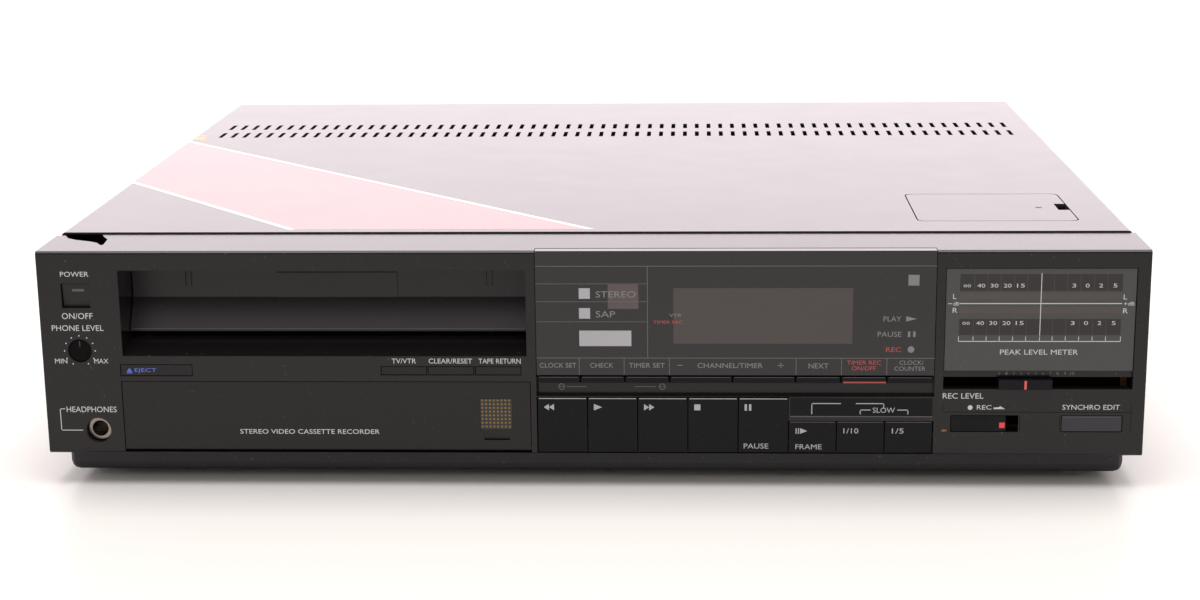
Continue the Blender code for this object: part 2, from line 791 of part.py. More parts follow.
def broken_corner_outline():
    """Ragged edge where the moulding's top rear left corner has snapped away."""
    back = front + BEZEL_DEPTH
    points = [(left - CUT_OVERRUN, back + CUT_OVERRUN),
              (left + BROKEN_EDGE_SHARES[0][0] * BROKEN_CORNER_WIDTH, back + CUT_OVERRUN)]
    for across, deep in BROKEN_EDGE_SHARES:
        points.append((left + across * BROKEN_CORNER_WIDTH, back - deep * BROKEN_CORNER_DEPTH))
    points.append((left - CUT_OVERRUN, points[-1][1]))
    return points


def front_bezel():
    """Moulded front: shell open at the back, with all its openings."""
    back = front + BEZEL_DEPTH
    shell = place("front_bezel", prism("front_bezel", bezel_outline(), "X", left, right),
                  dark_plastic())
    cavity = boxes("bezel_cavity", [((left + BEZEL_WALL, front + BEZEL_WALL,
                                      bezel_bottom + BEZEL_WALL),
                                     (right - BEZEL_WALL, back + CUT_OVERRUN,
                                      bezel_top - BEZEL_WALL))])
    cut(shell, cavity)
    join(shell, boxes("bezel_stock", bezel_blocks()))
    builder = bmesh.new()
    bezel_posts(builder)
    join(shell, mesh_from(builder, "bezel_bosses"))
    cut(shell, prism("cassette_recess", recess_outline(), "X",
                     cassette_left + RECESS_MARGIN, cassette_right - RECESS_MARGIN))
    for index, span in enumerate(bezel_front_openings()):
        cut(shell, boxes(f"front_opening_{index}", [span]))
    cavity_top = door_pocket_top - COMPARTMENT_WALL
    cut(shell, boxes("control_compartment", [
        ((cassette_left + COMPARTMENT_WALL, front, bezel_bottom + BEZEL_WALL),
         (cassette_right - COMPARTMENT_WALL, front + COMPARTMENT_DEPTH - COMPARTMENT_WALL,
          cavity_top))]))
    cut(shell, round_front_holes())
    cut(shell, pin_holes())
    cut(shell, control_holes())
    drop = bezel_top - BEZEL_WALL - WELD_DEPTH
    cut(shell, prism("broken_corner", broken_corner_outline(), "Z", drop,
                     bezel_top + CUT_OVERRUN))


def round_front_holes():
    """Holes for the level knob and the headphone plug."""
    builder = bmesh.new()
    outside = front - CUT_OVERRUN
    add_cylinder(builder, (left + KNOB_ACROSS, bezel_top - KNOB_DOWN),
                 KNOB_RADIUS + RUNNING_GAP, "Y", outside,
                 front + BEZEL_WALL + CUT_OVERRUN, ROUND_FACETS)
    add_cylinder(builder, (left + JACK_ACROSS, bezel_top - JACK_DOWN), JACK_HOLE_RADIUS, "Y",
                 outside, front + JACK_BOSS_DEPTH + CUT_OVERRUN, ROUND_FACETS)
    return mesh_from(builder, "round_front_holes")


def pin_holes():
    """Blind holes for the pins of the flap and of the drop-down door."""
    builder = bmesh.new()
    radius = PIN_RADIUS + RUNNING_GAP
    reach = PIN_LENGTH + RUNNING_GAP
    add_cylinder(builder, flap_axis(), radius, "X", cassette_left + RECESS_MARGIN - reach,
                 cassette_right - RECESS_MARGIN + reach, SMALL_FACETS)
    add_cylinder(builder, door_axis(), radius, "X", cassette_left - reach,
                 cassette_right + reach, SMALL_FACETS)
    return mesh_from(builder, "pin_holes")


def control_holes():
    """Shaft hole and switch slot in the compartment's rear wall."""
    builder = bmesh.new()
    start = front + COMPARTMENT_DEPTH - COMPARTMENT_WALL - CUT_OVERRUN / 2
    end = front + COMPARTMENT_DEPTH + CUT_OVERRUN
    places = control_places()
    add_cylinder(builder, places["tracking_knob"], TRACKING_SHAFT_RADIUS + RUNNING_GAP, "Y",
                 start, end, SMALL_FACETS)
    x, z = places["speed_switch"]
    half = SWITCH_NUB_HEIGHT / 2 + RUNNING_GAP
    reach = (SWITCH_NUB_WIDTH + SWITCH_TRAVEL) / 2 + RUNNING_GAP
    add_box(builder, (x - reach, start, z - half), (x + reach, end, z + half))
    return mesh_from(builder, "control_holes")


def cover_section(inset, low):
    """Half-open arch of the cover, drawn from its left foot over the top to its right foot."""
    radius = COVER_FOLD_ROUND - inset
    top = cover_top - inset
    start = cover_left + inset
    end = cover_right - inset
    left_arc = arc_points((start + radius, top - radius), radius, 180, 90, EDGE_ROUND_STEPS)
    right_arc = arc_points((end - radius, top - radius), radius, 90, 0, EDGE_ROUND_STEPS)
    return [(start, low)] + left_arc + right_arc + [(end, low)]


def lid_outline(grow):
    """Rounded rectangle of the lid, grown by the gap for the opening round it."""
    start = left + LID_LEFT - grow
    end = left + LID_LEFT + LID_WIDTH + grow
    near = front + LID_DEPTH_START - grow
    far = front + LID_DEPTH_START + LID_DEPTH + grow
    radius = LID_CORNER
    corners = (((end - radius, far - radius), 0), ((start + radius, far - radius), 90),
               ((start + radius, near + radius), 180), ((end - radius, near + radius), 270))
    points = []
    for middle, angle in corners:
        points += arc_points(middle, radius, angle, angle + 90, EDGE_ROUND_STEPS)
    return points


def top_cover():
    """Folded sheet cover with two rows of vent slots and the lid's opening."""
    foot = bezel_bottom
    outer = cover_section(0.0, foot)
    inner = cover_section(SHEET, foot + SHEET)
    flange_left = (cover_left + SHEET + COVER_FLANGE, foot)
    flange_right = (cover_right - SHEET - COVER_FLANGE, foot)
    outline = (outer + [flange_right, (flange_right[0], foot + SHEET)] + inner[::-1]
               + [(flange_left[0], foot + SHEET), flange_left])
    cover = place("top_cover", prism("top_cover", outline, "Y", cover_front, rear),
                  painted_sheet())
    slots = []
    row_start = -(VENT_COUNT - 1) / 2 * VENT_PITCH
    for y in (rear - VENT_FAR_FROM_REAR, rear - VENT_FAR_FROM_REAR - VENT_ROW_SPACING):
        for index in range(VENT_COUNT):
            x = row_start + index * VENT_PITCH
            slots.append(((x - VENT_WIDTH / 2, y - VENT_LENGTH / 2, cover_top - CUT_OVERRUN),
                          (x + VENT_WIDTH / 2, y + VENT_LENGTH / 2, cover_top + CUT_OVERRUN)))
    cut(cover, boxes("vent_slots", slots))
    cut(cover, prism("lid_opening", lid_outline(LID_GAP), "Z", cover_top - CUT_OVERRUN,
                     cover_top + CUT_OVERRUN))


def top_lid():
    """Small lid over the preset well, lifted at the notch in its right edge."""
    axis = lid_axis()
    bottom = cover_top - LID_THICKNESS
    lid = place("preset_lid", prism("preset_lid", lid_outline(0.0), "Z", bottom, cover_top),
                painted_sheet(), axis)
    end = left + LID_LEFT + LID_WIDTH
    middle = front + LID_DEPTH_START + LID_DEPTH / 2
    cut(lid, boxes("finger_notch", [
        ((end - LID_NOTCH_WIDTH, middle - LID_NOTCH_LENGTH / 2, bottom - CUT_OVERRUN),
         (end + CUT_OVERRUN, middle + LID_NOTCH_LENGTH / 2, cover_top + CUT_OVERRUN))]))


def lid_axis():
    """Left edge of the lid, half its thickness in from the edge and just under the top."""
    return (left + LID_LEFT + LID_THICKNESS / 2, front + LID_DEPTH_START + LID_DEPTH / 2,
            cover_top - LID_AXIS_DROP)


def preset_well():
    """Open box under the lid, hung by its rim from the cover."""
    start = left + LID_LEFT - LID_GAP
    end = left + LID_LEFT + LID_WIDTH + LID_GAP
    near = front + LID_DEPTH_START - LID_GAP
    far = front + LID_DEPTH_START + LID_DEPTH + LID_GAP
    top = cover_top - SHEET - SEAT_GAP
    bottom = top - WELL_HEIGHT
    rim = WELL_WALL + WELL_RIM
    well = place("preset_well", boxes("preset_well", [
        ((start - WELL_WALL, near - WELL_WALL, bottom), (end + WELL_WALL, far + WELL_WALL, top))]),
        black_plastic())
    join(well, boxes("well_rim", [
        ((start - rim, near - rim, top - WELL_WALL), (end + rim, far + rim, top))]))
    cut(well, boxes("well_space", [
        ((start, near, bottom + WELL_WALL), (end, far, top + CUT_OVERRUN))]))


def deck_span():
    """Left, right, front and rear of the mechanism deck."""
    half = lift_half_width() + DECK_MARGIN
    return (cassette_middle - half, cassette_middle + half, front + DECK_START,
            front + mechanism_depth)


def lift_half_width():
    """Half the width over the lift's side plates."""
    basket_half = CASSETTE_WIDTH / 2 + BASKET_SIDE_PLAY + BASKET_WALL
    return basket_half + 2 * RUNNING_GAP + 2 * LIFT_WALL


def main_board_span():
    start = left + MAIN_BOARD_LEFT
    far = transformer_front - TRANSFORMER_COIL_REACH - BOARD_TRANSFORMER_CLEARANCE
    return start, start + MAIN_BOARD_WIDTH, front + MAIN_BOARD_START, far


def corner_places(span, inset):
    """Four corners of a left, right, front, rear span, drawn in by an inset."""
    x_low, x_high, y_low, y_high = span
    return [(x, y) for x in (x_low + inset, x_high - inset)
            for y in (y_low + inset, y_high - inset)]


def tuner_span():
    start = left + TUNER_LEFT
    back = rear_panel_front - SEAT_GAP
    return start, start + TUNER_WIDTH, back - TUNER_DEPTH, back


def bottom_tray():
    """Pan that forms the plinth, with posts for the deck and the main board."""
    side = PLINTH_SIDE_SETBACK
    near = front + PLINTH_SETBACK
    far = rear - PLINTH_REAR_SETBACK
    top = bezel_bottom - SEAT_GAP
    over = top + TRAY_EDGE_ROUND + CUT_OVERRUN
    tray = place("bottom_tray", boxes("bottom_tray", [
        ((left + side, near, tray_bottom), (right - side, far, over))]), black_plastic())
    round_edges(tray, TRAY_EDGE_ROUND)
    cut(tray, boxes("tray_rim", [
        ((left - CUT_OVERRUN, front - CUT_OVERRUN, top),
         (right + CUT_OVERRUN, rear + CUT_OVERRUN, over + CUT_OVERRUN))]))
    wall = TRAY_WALL
    cut(tray, boxes("tray_space", [
        ((left + side + wall, near + wall, tray_floor),
         (right - side - wall, far - wall, top + CUT_OVERRUN))]))
    builder = bmesh.new()
    foot = tray_floor - WELD_DEPTH
    for point in corner_places(deck_span(), DECK_POST_RADIUS):
        add_cylinder(builder, point, DECK_POST_RADIUS, "Z", foot, deck_bottom - SEAT_GAP,
                     SMALL_FACETS)
    for point in corner_places(main_board_span(), BOARD_POST_RADIUS):
        add_cylinder(builder, point, BOARD_POST_RADIUS, "Z", foot,
                     tray_floor + MAIN_BOARD_RISE - SEAT_GAP, SMALL_FACETS)
    x_low, x_high, y_low, y_high = tuner_span()
    middle = (x_low + x_high) / 2
    half = TUNER_PAD_SIZE / 2
    add_box(builder, (middle - half, y_low, foot),
            (middle + half, y_high, tray_floor + MAIN_BOARD_RISE - SEAT_GAP))
    join(tray, mesh_from(builder, "tray_posts"))


def connector_places():
    """The two aerial connectors, side by side on the tuner's rear face."""
    x_low, x_high, _, _ = tuner_span()
    low = tray_floor + MAIN_BOARD_RISE + TUNER_HEIGHT / 2
    x = (x_low + x_high) / 2
    return [(x - CONNECTOR_SPACING / 2, low), (x + CONNECTOR_SPACING / 2, low)]


def phono_places():
    start = left + JACK_BLOCK_LEFT
    low = tray_floor + MAIN_BOARD_RISE
    return [(start + (column + 0.5) * JACK_BLOCK_PITCH, low + (row + 0.5) * JACK_BLOCK_PITCH)
            for column in range(JACK_COLUMNS) for row in range(JACK_ROWS)]


def gland_place():
    return left + GLAND_ACROSS, bezel_bottom + GLAND_RISE


def rear_panel():
    """Pressed rear panel with holes for the sockets and the mains lead."""
    gap = RUNNING_GAP
    low = bezel_bottom + SHEET + gap
    high = cover_top - SHEET - 2 * gap
    panel = place("rear_panel", boxes("rear_panel", [
        ((cover_left + SHEET + gap, rear_panel_front, low),
         (cover_right - SHEET - gap, rear_panel_rear, high))]), painted_sheet())
    builder = bmesh.new()
    start = rear_panel_front - CUT_OVERRUN
    end = rear_panel_rear + CUT_OVERRUN
    for point in connector_places():
        add_cylinder(builder, point, CONNECTOR_RADIUS + gap, "Y", start, end, ROUND_FACETS)
    for point in phono_places():
        add_cylinder(builder, point, PHONO_RADIUS + gap, "Y", start, end, ROUND_FACETS)
    add_cylinder(builder, gland_place(), GLAND_RADIUS + gap, "Y", start, end, ROUND_FACETS)
    cut(panel, mesh_from(builder, "panel_holes"))


def socket_block(name, low, high, places, sizes, look):
    """A block behind the rear panel with round sockets that pass through it."""
    radius, bore, reach = sizes
    block = place(name, boxes(name, [(low, high)]), look)
    builder = bmesh.new()
    end = rear_panel_rear + reach
    for point in places:
        add_cylinder(builder, point, radius, "Y", high[1] - WELD_DEPTH, end, ROUND_FACETS)
    join(block, mesh_from(builder, f"{name}_sockets"))
    builder = bmesh.new()
    for point in places:
        add_cylinder(builder, point, bore, "Y", high[1], end + CUT_OVERRUN, SMALL_FACETS)
    cut(block, mesh_from(builder, f"{name}_bores"))


def rear_sockets():
    """Tuner can with two aerial connectors, and the block of six phono sockets."""
    x_low, x_high, y_low, y_high = tuner_span()
    base = tray_floor + MAIN_BOARD_RISE
    socket_block("tuner", (x_low, y_low, base), (x_high, y_high, base + TUNER_HEIGHT),
                 connector_places(), (CONNECTOR_RADIUS, CONNECTOR_BORE, CONNECTOR_REACH),
                 bare_steel())
    start = left + JACK_BLOCK_LEFT
    socket_block("phono_sockets", (start, y_high - JACK_BLOCK_DEPTH, base),
                 (start + JACK_COLUMNS * JACK_BLOCK_PITCH, y_high,
                  base + JACK_ROWS * JACK_BLOCK_PITCH),
                 phono_places(), (PHONO_RADIUS, PHONO_BORE, PHONO_REACH), black_plastic())


def lead_gland():
    """Flanged bush in the rear panel where the mains lead would leave."""
    point = gland_place()
    builder = bmesh.new()
    seat = rear_panel_rear + SEAT_GAP
    add_cylinder(builder, point, GLAND_FLANGE_RADIUS, "Y", seat, seat + GLAND_FLANGE, ROUND_FACETS)
    gland = place("lead_gland", mesh_from(builder, "lead_gland"), rubber())
    smooth_round(gland)
    builder = bmesh.new()
    add_cylinder(builder, point, GLAND_RADIUS, "Y", rear_panel_front - GLAND_REACH,
                 seat + WELD_DEPTH, ROUND_FACETS)
    join(gland, mesh_from(builder, "gland_barrel"))
    builder = bmesh.new()
    add_cylinder(builder, point, GLAND_BORE, "Y", rear_panel_front - GLAND_REACH - CUT_OVERRUN,
                 rear + CUT_OVERRUN, SMALL_FACETS)
    cut(gland, mesh_from(builder, "gland_bore"))


def flanged_button(name, span, setback, wall, look):
    """Push button: a face in its opening and a wider flange close behind the wall."""
    x_low, x_high, z_low, z_high = span
    gap = RUNNING_GAP
    face = front + setback
    seat = front + wall + gap
    reach = BUTTON_FLANGE_REACH / 2
    outline = [
        (face, z_high - gap), (face, z_low + gap), (seat, z_low + gap),
        (seat, z_low + gap - reach), (seat + BUTTON_FLANGE, z_low + gap - reach),
        (seat + BUTTON_FLANGE, z_high + reach), (seat, z_high + reach), (seat, z_high - gap),
    ]
    origin = ((x_low + x_high) / 2, face, (z_low + z_high) / 2)
    return place(name, prism(name, outline, "X", x_low + gap, x_high - gap), look, origin)


def strip_buttons():
    """EJECT and the three buttons beside it, between the recess and the lower door."""
    flanged_button("eject_button", (cassette_left, cassette_left + EJECT_WIDTH, eject_bottom,
                                    eject_top), BUTTON_SETBACK, BEZEL_WALL, dark_plastic())
    names = ("input_button", "clear_reset_button", "tape_return_button")
    for name, span in zip(names, row_button_spans()):
        flanged_button(name, span, BUTTON_SETBACK, BEZEL_WALL, dark_plastic())


def small_buttons():
    """Row of eight small buttons under the smoked panel."""
    low, high = small_button_row()
    face = PANEL_POCKET_DEPTH - SMALL_BUTTON_PROUD
    wall = BEZEL_WALL + BACKING_WALL
    gap = RUNNING_GAP
    width = CENTRE_SECTION - 2 * gap
    for index, name in enumerate(SMALL_BUTTON_NAMES):
        start = centre_left + gap + SMALL_BUTTON_SHARES[index] * width
        end = centre_left + gap + SMALL_BUTTON_SHARES[index + 1] * width
        flanged_button(name, (start, end, low, high), face, wall, key_plastic())


def key_mesh(name, x_low, x_high, top):
    """Tall key with a flange at its top that stops behind the backing wall."""
    gap = RUNNING_GAP
    face = front + BUTTON_SETBACK
    seat = backing_rear + gap
    back = seat + BUTTON_FLANGE
    low = door_pocket_bottom + gap
    outline = [
        (face, top - gap), (face, low), (back, low), (back, top + KEY_FLANGE_REACH),
        (seat, top + KEY_FLANGE_REACH), (seat, top - gap),
    ]
    return prism(name, outline, "X", x_low, x_high)


def key_bank(names, start, end, top):
    """Keys of equal width, side by side with a narrow spacing."""
    pitch = (end - start) / len(names)
    for index, name in enumerate(names):
        x_low = start + index * pitch + KEY_SPACING / 2
        x_high = start + (index + 1) * pitch - KEY_SPACING / 2
        origin = ((x_low + x_high) / 2, front + BUTTON_SETBACK, (door_pocket_bottom + top) / 2)
        place(name, key_mesh(name, x_low, x_high, top), key_plastic(), origin)


def transport_keys():
    middle = centre_left + KEY_BANK_WIDTH
    key_bank(KEY_NAMES, centre_left + SEAT_GAP, middle, key_pocket_top)
    key_bank(SLOW_KEY_NAMES, middle, centre_right - SEAT_GAP, slow_pocket_top)


def centre_panel():
    """Smoked acrylic panel whose top edge wraps over the front of the moulding."""
    gap = SEAT_GAP
    wrap_low = bezel_top - BEZEL_WALL / 2 + gap
    outline = [
        (front, bezel_top), (front, panel_bottom),
        (front + PANEL_POCKET_DEPTH - gap, panel_bottom),
        (front + PANEL_POCKET_DEPTH - gap, wrap_low),
        (front + PANEL_TOP_WRAP, wrap_low), (front + PANEL_TOP_WRAP, bezel_top),
    ]
    place("centre_panel", prism("centre_panel", outline, "X", centre_left + gap,
                                centre_right - gap), smoked_lens())


def front_boards():
    """Upright boards behind the front: one for the displays and keys, one for the left column."""
    x_low, x_high, z_low, z_high = front_board_span()
    near = front + FRONT_BOARD_DEPTH
    place("front_board", boxes("front_board", [
        ((x_low, near, z_low), (x_high, near + BOARD_THICKNESS, z_high))]), board_laminate())
    x_low, x_high, z_low, z_high = left_board_span()
    near = front + LEFT_BOARD_DEPTH
    board = place("left_board", boxes("left_board", [
        ((x_low, near, z_low), (x_high, near + BOARD_THICKNESS, z_high))]), board_laminate())
    builder = bmesh.new()
    half = POT_SIZE / 2
    power_middle = (left + POWER_LEFT + POWER_WIDTH / 2,
                    bezel_top - POWER_TOP - POWER_HEIGHT / 2)
    for x, z in ((left + KNOB_ACROSS, bezel_top - KNOB_DOWN), power_middle):
        add_box(builder, (x - half, near - POT_LENGTH, z - half),
                (x + half, near + WELD_DEPTH, z + half))
    join(board, mesh_from(builder, "switch_bodies"))


def display_tube():
    """Flat glass indicator tube that lies on the front board behind the smoked panel."""
    start = centre_left + DISPLAY_LEFT - TUBE_OVERLAP
    top = bezel_top - DISPLAY_TOP + TUBE_OVERLAP
    back = front + FRONT_BOARD_DEPTH - SEAT_GAP
    place("display_tube", boxes("display_tube", [
        ((start, back - DISPLAY_THICKNESS, top - DISPLAY_HEIGHT - 2 * TUBE_OVERLAP),
         (start + DISPLAY_WIDTH + 2 * TUBE_OVERLAP, back, top))]), grey_lens())


def level_meter():
    """Window of the level meter, seated in its pocket over the aperture."""
    start, end, bottom, top = meter_span()
    gap = SEAT_GAP
    near = front + METER_LENS_SETBACK
    place("meter_window", boxes("meter_window", [
        ((start + gap, near, bottom + gap), (end - gap, near + METER_LENS_THICKNESS, top - gap))]),
        grey_lens())


def level_slider():
    """Knob of the recording level fader: a face proud of its slot and a flange behind."""
    _, _, bottom, top = slider_slot_span()
    gap = RUNNING_GAP
    x_low = centre_right + SLIDER_ACROSS - SLIDER_WIDTH / 2
    x_high = x_low + SLIDER_WIDTH
    face = front - SLIDER_PROUD
    seat = backing_rear + gap
    back = front + FRONT_BOARD_DEPTH - gap
    outline = [
        (face, top - gap), (face, bottom + gap), (seat, bottom + gap),
        (seat, bottom - SLIDER_FLANGE), (seat + BUTTON_FLANGE, bottom - SLIDER_FLANGE),
        (seat + BUTTON_FLANGE, bottom + gap), (back, bottom + gap), (back, top - gap),
        (seat + BUTTON_FLANGE, top - gap), (seat + BUTTON_FLANGE, top + SLIDER_FLANGE),
        (seat, top + SLIDER_FLANGE), (seat, top - gap),
    ]
    place("rec_level_slider", prism("rec_level_slider", outline, "X", x_low, x_high),
          key_plastic(), ((x_low + x_high) / 2, face, (bottom + top) / 2))


def record_controls():
    """Record key, which slides to the right in its window, and the edit push button."""
    bottom = bezel_bottom + RECORD_ROW_RISE
    top = bottom + RECORD_ROW_HEIGHT
    wall = BEZEL_WALL + BACKING_WALL
    start = centre_right + RECORD_LEFT
    flanged_button("record_key", (start, start + RECORD_WIDTH, bottom, top), BUTTON_SETBACK,
                   wall, key_plastic())
    start = centre_right + EDIT_LEFT
    flanged_button("edit_button", (start, start + EDIT_WIDTH, bottom, top), BUTTON_SETBACK,
                   wall, key_plastic())


def power_button():
    """Push button with a sloped face, set back in its window."""
    gap = RUNNING_GAP
    x_low = left + POWER_LEFT + gap
    x_high = left + POWER_LEFT + POWER_WIDTH - gap
    top = bezel_top - POWER_TOP
    bottom = top - POWER_HEIGHT
    face = front + POWER_FACE_SETBACK
    seat = front + BEZEL_WALL + gap
    flange = BUTTON_FLANGE_REACH
    outline = [
        (face, top - gap), (face + POWER_FACE_SLOPE, bottom + gap), (seat, bottom + gap),
        (seat, bottom - flange), (seat + BUTTON_FLANGE, bottom - flange),
        (seat + BUTTON_FLANGE, top + flange), (seat, top + flange), (seat, top - gap),
    ]
    button = place("power_button", prism("power_button", outline, "X", x_low, x_high),
                   key_plastic(), ((x_low + x_high) / 2, face, (top + bottom) / 2))
    middle = ((x_low + x_high) / 2, (top + bottom) / 2)
    end = front + LEFT_BOARD_DEPTH - POT_LENGTH - PUSH_ROOM
    builder = bmesh.new()
    add_cylinder(builder, middle, KNOB_SHAFT_RADIUS, "Y", seat + BUTTON_FLANGE - WELD_DEPTH, end,
                 SMALL_FACETS)
    join(button, mesh_from(builder, "power_stem"))


def level_knob():
    """Headphone level knob: turned cap, collar and shaft on one axis."""
    gap = RUNNING_GAP
    middle = (left + KNOB_ACROSS, bezel_top - KNOB_DOWN)
    face = front + KNOB_SETBACK
    seat = front + BEZEL_WALL + gap
    builder = bmesh.new()
    add_cylinder(builder, middle, KNOB_RADIUS, "Y", face, seat + WELD_DEPTH, ROUND_FACETS)
    knob = place("phone_level_knob", mesh_from(builder, "phone_level_knob"), black_plastic(),
                 (middle[0], face, middle[1]))
    smooth_round(knob)
    builder = bmesh.new()
    add_cylinder(builder, middle, KNOB_RADIUS + BUTTON_FLANGE_REACH, "Y", seat,
                 seat + BUTTON_FLANGE, ROUND_FACETS)
    join(knob, mesh_from(builder, "knob_collar"))
    builder = bmesh.new()
    add_cylinder(builder, middle, KNOB_SHAFT_RADIUS, "Y", seat + BUTTON_FLANGE - WELD_DEPTH,
                 front + LEFT_BOARD_DEPTH - POT_LENGTH - gap, SMALL_FACETS)
    join(knob, mesh_from(builder, "knob_shaft"))


def headphone_jack():
    """Bored metal socket behind the round hole, with its square body on the left board."""
    middle = (left + JACK_ACROSS, bezel_top - JACK_DOWN)
    half = JACK_BODY_SIZE / 2
    start = front + JACK_BOSS_DEPTH + SEAT_GAP
    jack = place("headphone_jack", boxes("headphone_jack", [
        ((middle[0] - half, start, middle[1] - half),
         (middle[0] + half, start + JACK_BODY_LENGTH, middle[1] + half))]), bare_steel())
    builder = bmesh.new()
    collar = front + JACK_COLLAR_SETBACK
    add_cylinder(builder, middle, JACK_COLLAR_RADIUS, "Y", collar, start + WELD_DEPTH,
                 ROUND_FACETS)
    join(jack, mesh_from(builder, "jack_collar"))
    builder = bmesh.new()
    add_cylinder(builder, middle, JACK_BORE_RADIUS, "Y", collar - CUT_OVERRUN,
                 collar + JACK_BORE_LENGTH, ROUND_FACETS)
    cut(jack, mesh_from(builder, "jack_bore"))


def cassette_flap():
    """Flap over the cassette mouth: upright plate with a sloped lower half and a badge plate."""
    gap = RUNNING_GAP
    axis_y, axis_z = flap_axis()
    half = FLAP_THICKNESS / 2
    face = axis_y - half
    lip = tunnel_floor + FLAP_FLOOR_GAP
    slope_top = lip + FLAP_LIP_HEIGHT + FLAP_SLOPE_HEIGHT
    outline = arc_points((axis_y, axis_z), half, 0, 180, 2 * EDGE_ROUND_STEPS) + [
        (face, slope_top),
        (face - FLAP_LIP_REACH, lip + FLAP_LIP_HEIGHT),
        (face - FLAP_LIP_REACH, lip),
        (axis_y + half, lip),
    ]
    x_low = cassette_left + RECESS_MARGIN + gap
    x_high = cassette_right - RECESS_MARGIN - gap
    flap = place("cassette_flap", prism("cassette_flap", outline, "X", x_low, x_high),
                 dark_plastic(), (cassette_middle, axis_y, axis_z))
    builder = bmesh.new()
    add_cylinder(builder, (axis_y, axis_z), PIN_RADIUS, "X", x_low - PIN_LENGTH,
                 x_high + PIN_LENGTH, SMALL_FACETS)
    join(flap, mesh_from(builder, "flap_pins"))
    middle = cassette_middle + FLAP_BADGE_SHIFT
    join(flap, boxes("badge_plate", [
        ((middle - FLAP_BADGE_WIDTH / 2, face - FLAP_BADGE_THICKNESS, slope_top),
         (middle + FLAP_BADGE_WIDTH / 2, face + WELD_DEPTH, slope_top + FLAP_BADGE_HEIGHT))]))


def control_door():
    """Drop-down door over the control compartment, pinned near its lower edge."""
    gap = RUNNING_GAP
    axis_y, axis_z = door_axis()
    half = DOOR_THICKNESS / 2
    top = door_pocket_top - gap
    outline = arc_points((axis_y, axis_z), half, 180, 360, 2 * EDGE_ROUND_STEPS) + [
        (axis_y + half, top), (axis_y - half, top)]
    x_low = cassette_left + gap
    x_high = cassette_right - gap
    door = place("control_door", prism("control_door", outline, "X", x_low, x_high),
                 dark_plastic(), (cassette_middle, axis_y, axis_z))
    builder = bmesh.new()
    add_cylinder(builder, (axis_y, axis_z), PIN_RADIUS, "X", x_low - PIN_LENGTH,
                 x_high + PIN_LENGTH, SMALL_FACETS)
    join(door, mesh_from(builder, "door_pins"))
    face = axis_y - half
    slot_right = cassette_right - FINGER_SLOT_RIGHT
    slot_low = door_pocket_bottom + FINGER_SLOT_RISE
    badge_right = cassette_right - BADGE_RECESS_RIGHT
    badge_low = door_pocket_bottom + BADGE_RECESS_RISE
    cut(door, boxes("door_recesses", [
        ((slot_right - FINGER_SLOT_WIDTH, face - CUT_OVERRUN, slot_low),
         (slot_right, face + FINGER_SLOT_DEPTH, slot_low + FINGER_SLOT_HEIGHT)),
        ((badge_right - BADGE_RECESS_SIZE, face - CUT_OVERRUN, badge_low),
         (badge_right, face + BADGE_RECESS_DEPTH, badge_low + BADGE_RECESS_SIZE))]))


def compartment_controls():
    """Tracking knob and slide switch on the compartment's rear wall."""
    gap = RUNNING_GAP
    wall = front + COMPARTMENT_DEPTH - COMPARTMENT_WALL
    places = control_places()
    middle = places["tracking_knob"]
    builder = bmesh.new()
    add_cylinder(builder, middle, TRACKING_KNOB_RADIUS, "Y", wall - gap - TRACKING_KNOB_LENGTH,
                 wall - gap, ROUND_FACETS)
    knob = place("tracking_knob", mesh_from(builder, "tracking_knob"), key_plastic(),
                 (middle[0], wall - gap - TRACKING_KNOB_LENGTH, middle[1]))
    smooth_round(knob)
    builder = bmesh.new()
    add_cylinder(builder, middle, TRACKING_SHAFT_RADIUS, "Y", wall - gap - WELD_DEPTH,
                 wall + TRACKING_SHAFT_LENGTH, SMALL_FACETS)
    join(knob, mesh_from(builder, "tracking_shaft"))
    x, z = places["speed_switch"]
    x -= SWITCH_TRAVEL / 2
    half = SWITCH_NUB_WIDTH / 2
    tall = SWITCH_NUB_HEIGHT / 2
    back = front + COMPARTMENT_DEPTH + gap
    switch = place("speed_switch", boxes("speed_switch", [
        ((x - half, wall - SWITCH_NUB_LENGTH, z - tall),
         (x + half, back + WELD_DEPTH, z + tall))]), key_plastic(),
        (x, wall - SWITCH_NUB_LENGTH, z))
    wide = half + SWITCH_TRAVEL + SWITCH_PLATE_REACH
    join(switch, boxes("switch_plate", [
        ((x - wide, back, z - tall - SWITCH_PLATE_REACH / 2),
         (x + wide, back + COMPARTMENT_WALL, z + tall + SWITCH_PLATE_REACH / 2))]))


def basket_span():
    """Left, right, front, rear, bottom and top of the cassette basket at rest."""
    half = CASSETTE_WIDTH / 2 + BASKET_SIDE_PLAY + BASKET_WALL
    near = front + BASKET_START
    far = near + CASSETTE_DEPTH + BASKET_WALL + BASKET_PLAY
    low = tunnel_floor - BASKET_PLAY - BASKET_WALL
    high = low + CASSETTE_HEIGHT + 2 * BASKET_PLAY + 2 * BASKET_WALL
    return cassette_middle - half, cassette_middle + half, near, far, low, high


def cassette_basket():
    """Open-fronted basket that holds the cassette, windowed above and below."""
    x_low, x_high, near, far, low, high = basket_span()
    wall = BASKET_WALL
    basket = place("cassette_basket", boxes("cassette_basket", [
        ((x_low, near, low), (x_high, far, high))]), bare_steel(),
        ((x_low + x_high) / 2, near, low))
    cut(basket, boxes("basket_space", [
        ((x_low + wall, near - CUT_OVERRUN, low + wall), (x_high - wall, far - wall,
                                                         high - wall))]))
    margin = BASKET_WINDOW_MARGIN
    cut(basket, boxes("basket_windows", [
        ((x_low + margin, near + margin, low - CUT_OVERRUN),
         (x_high - margin, far - margin, high + CUT_OVERRUN))]))


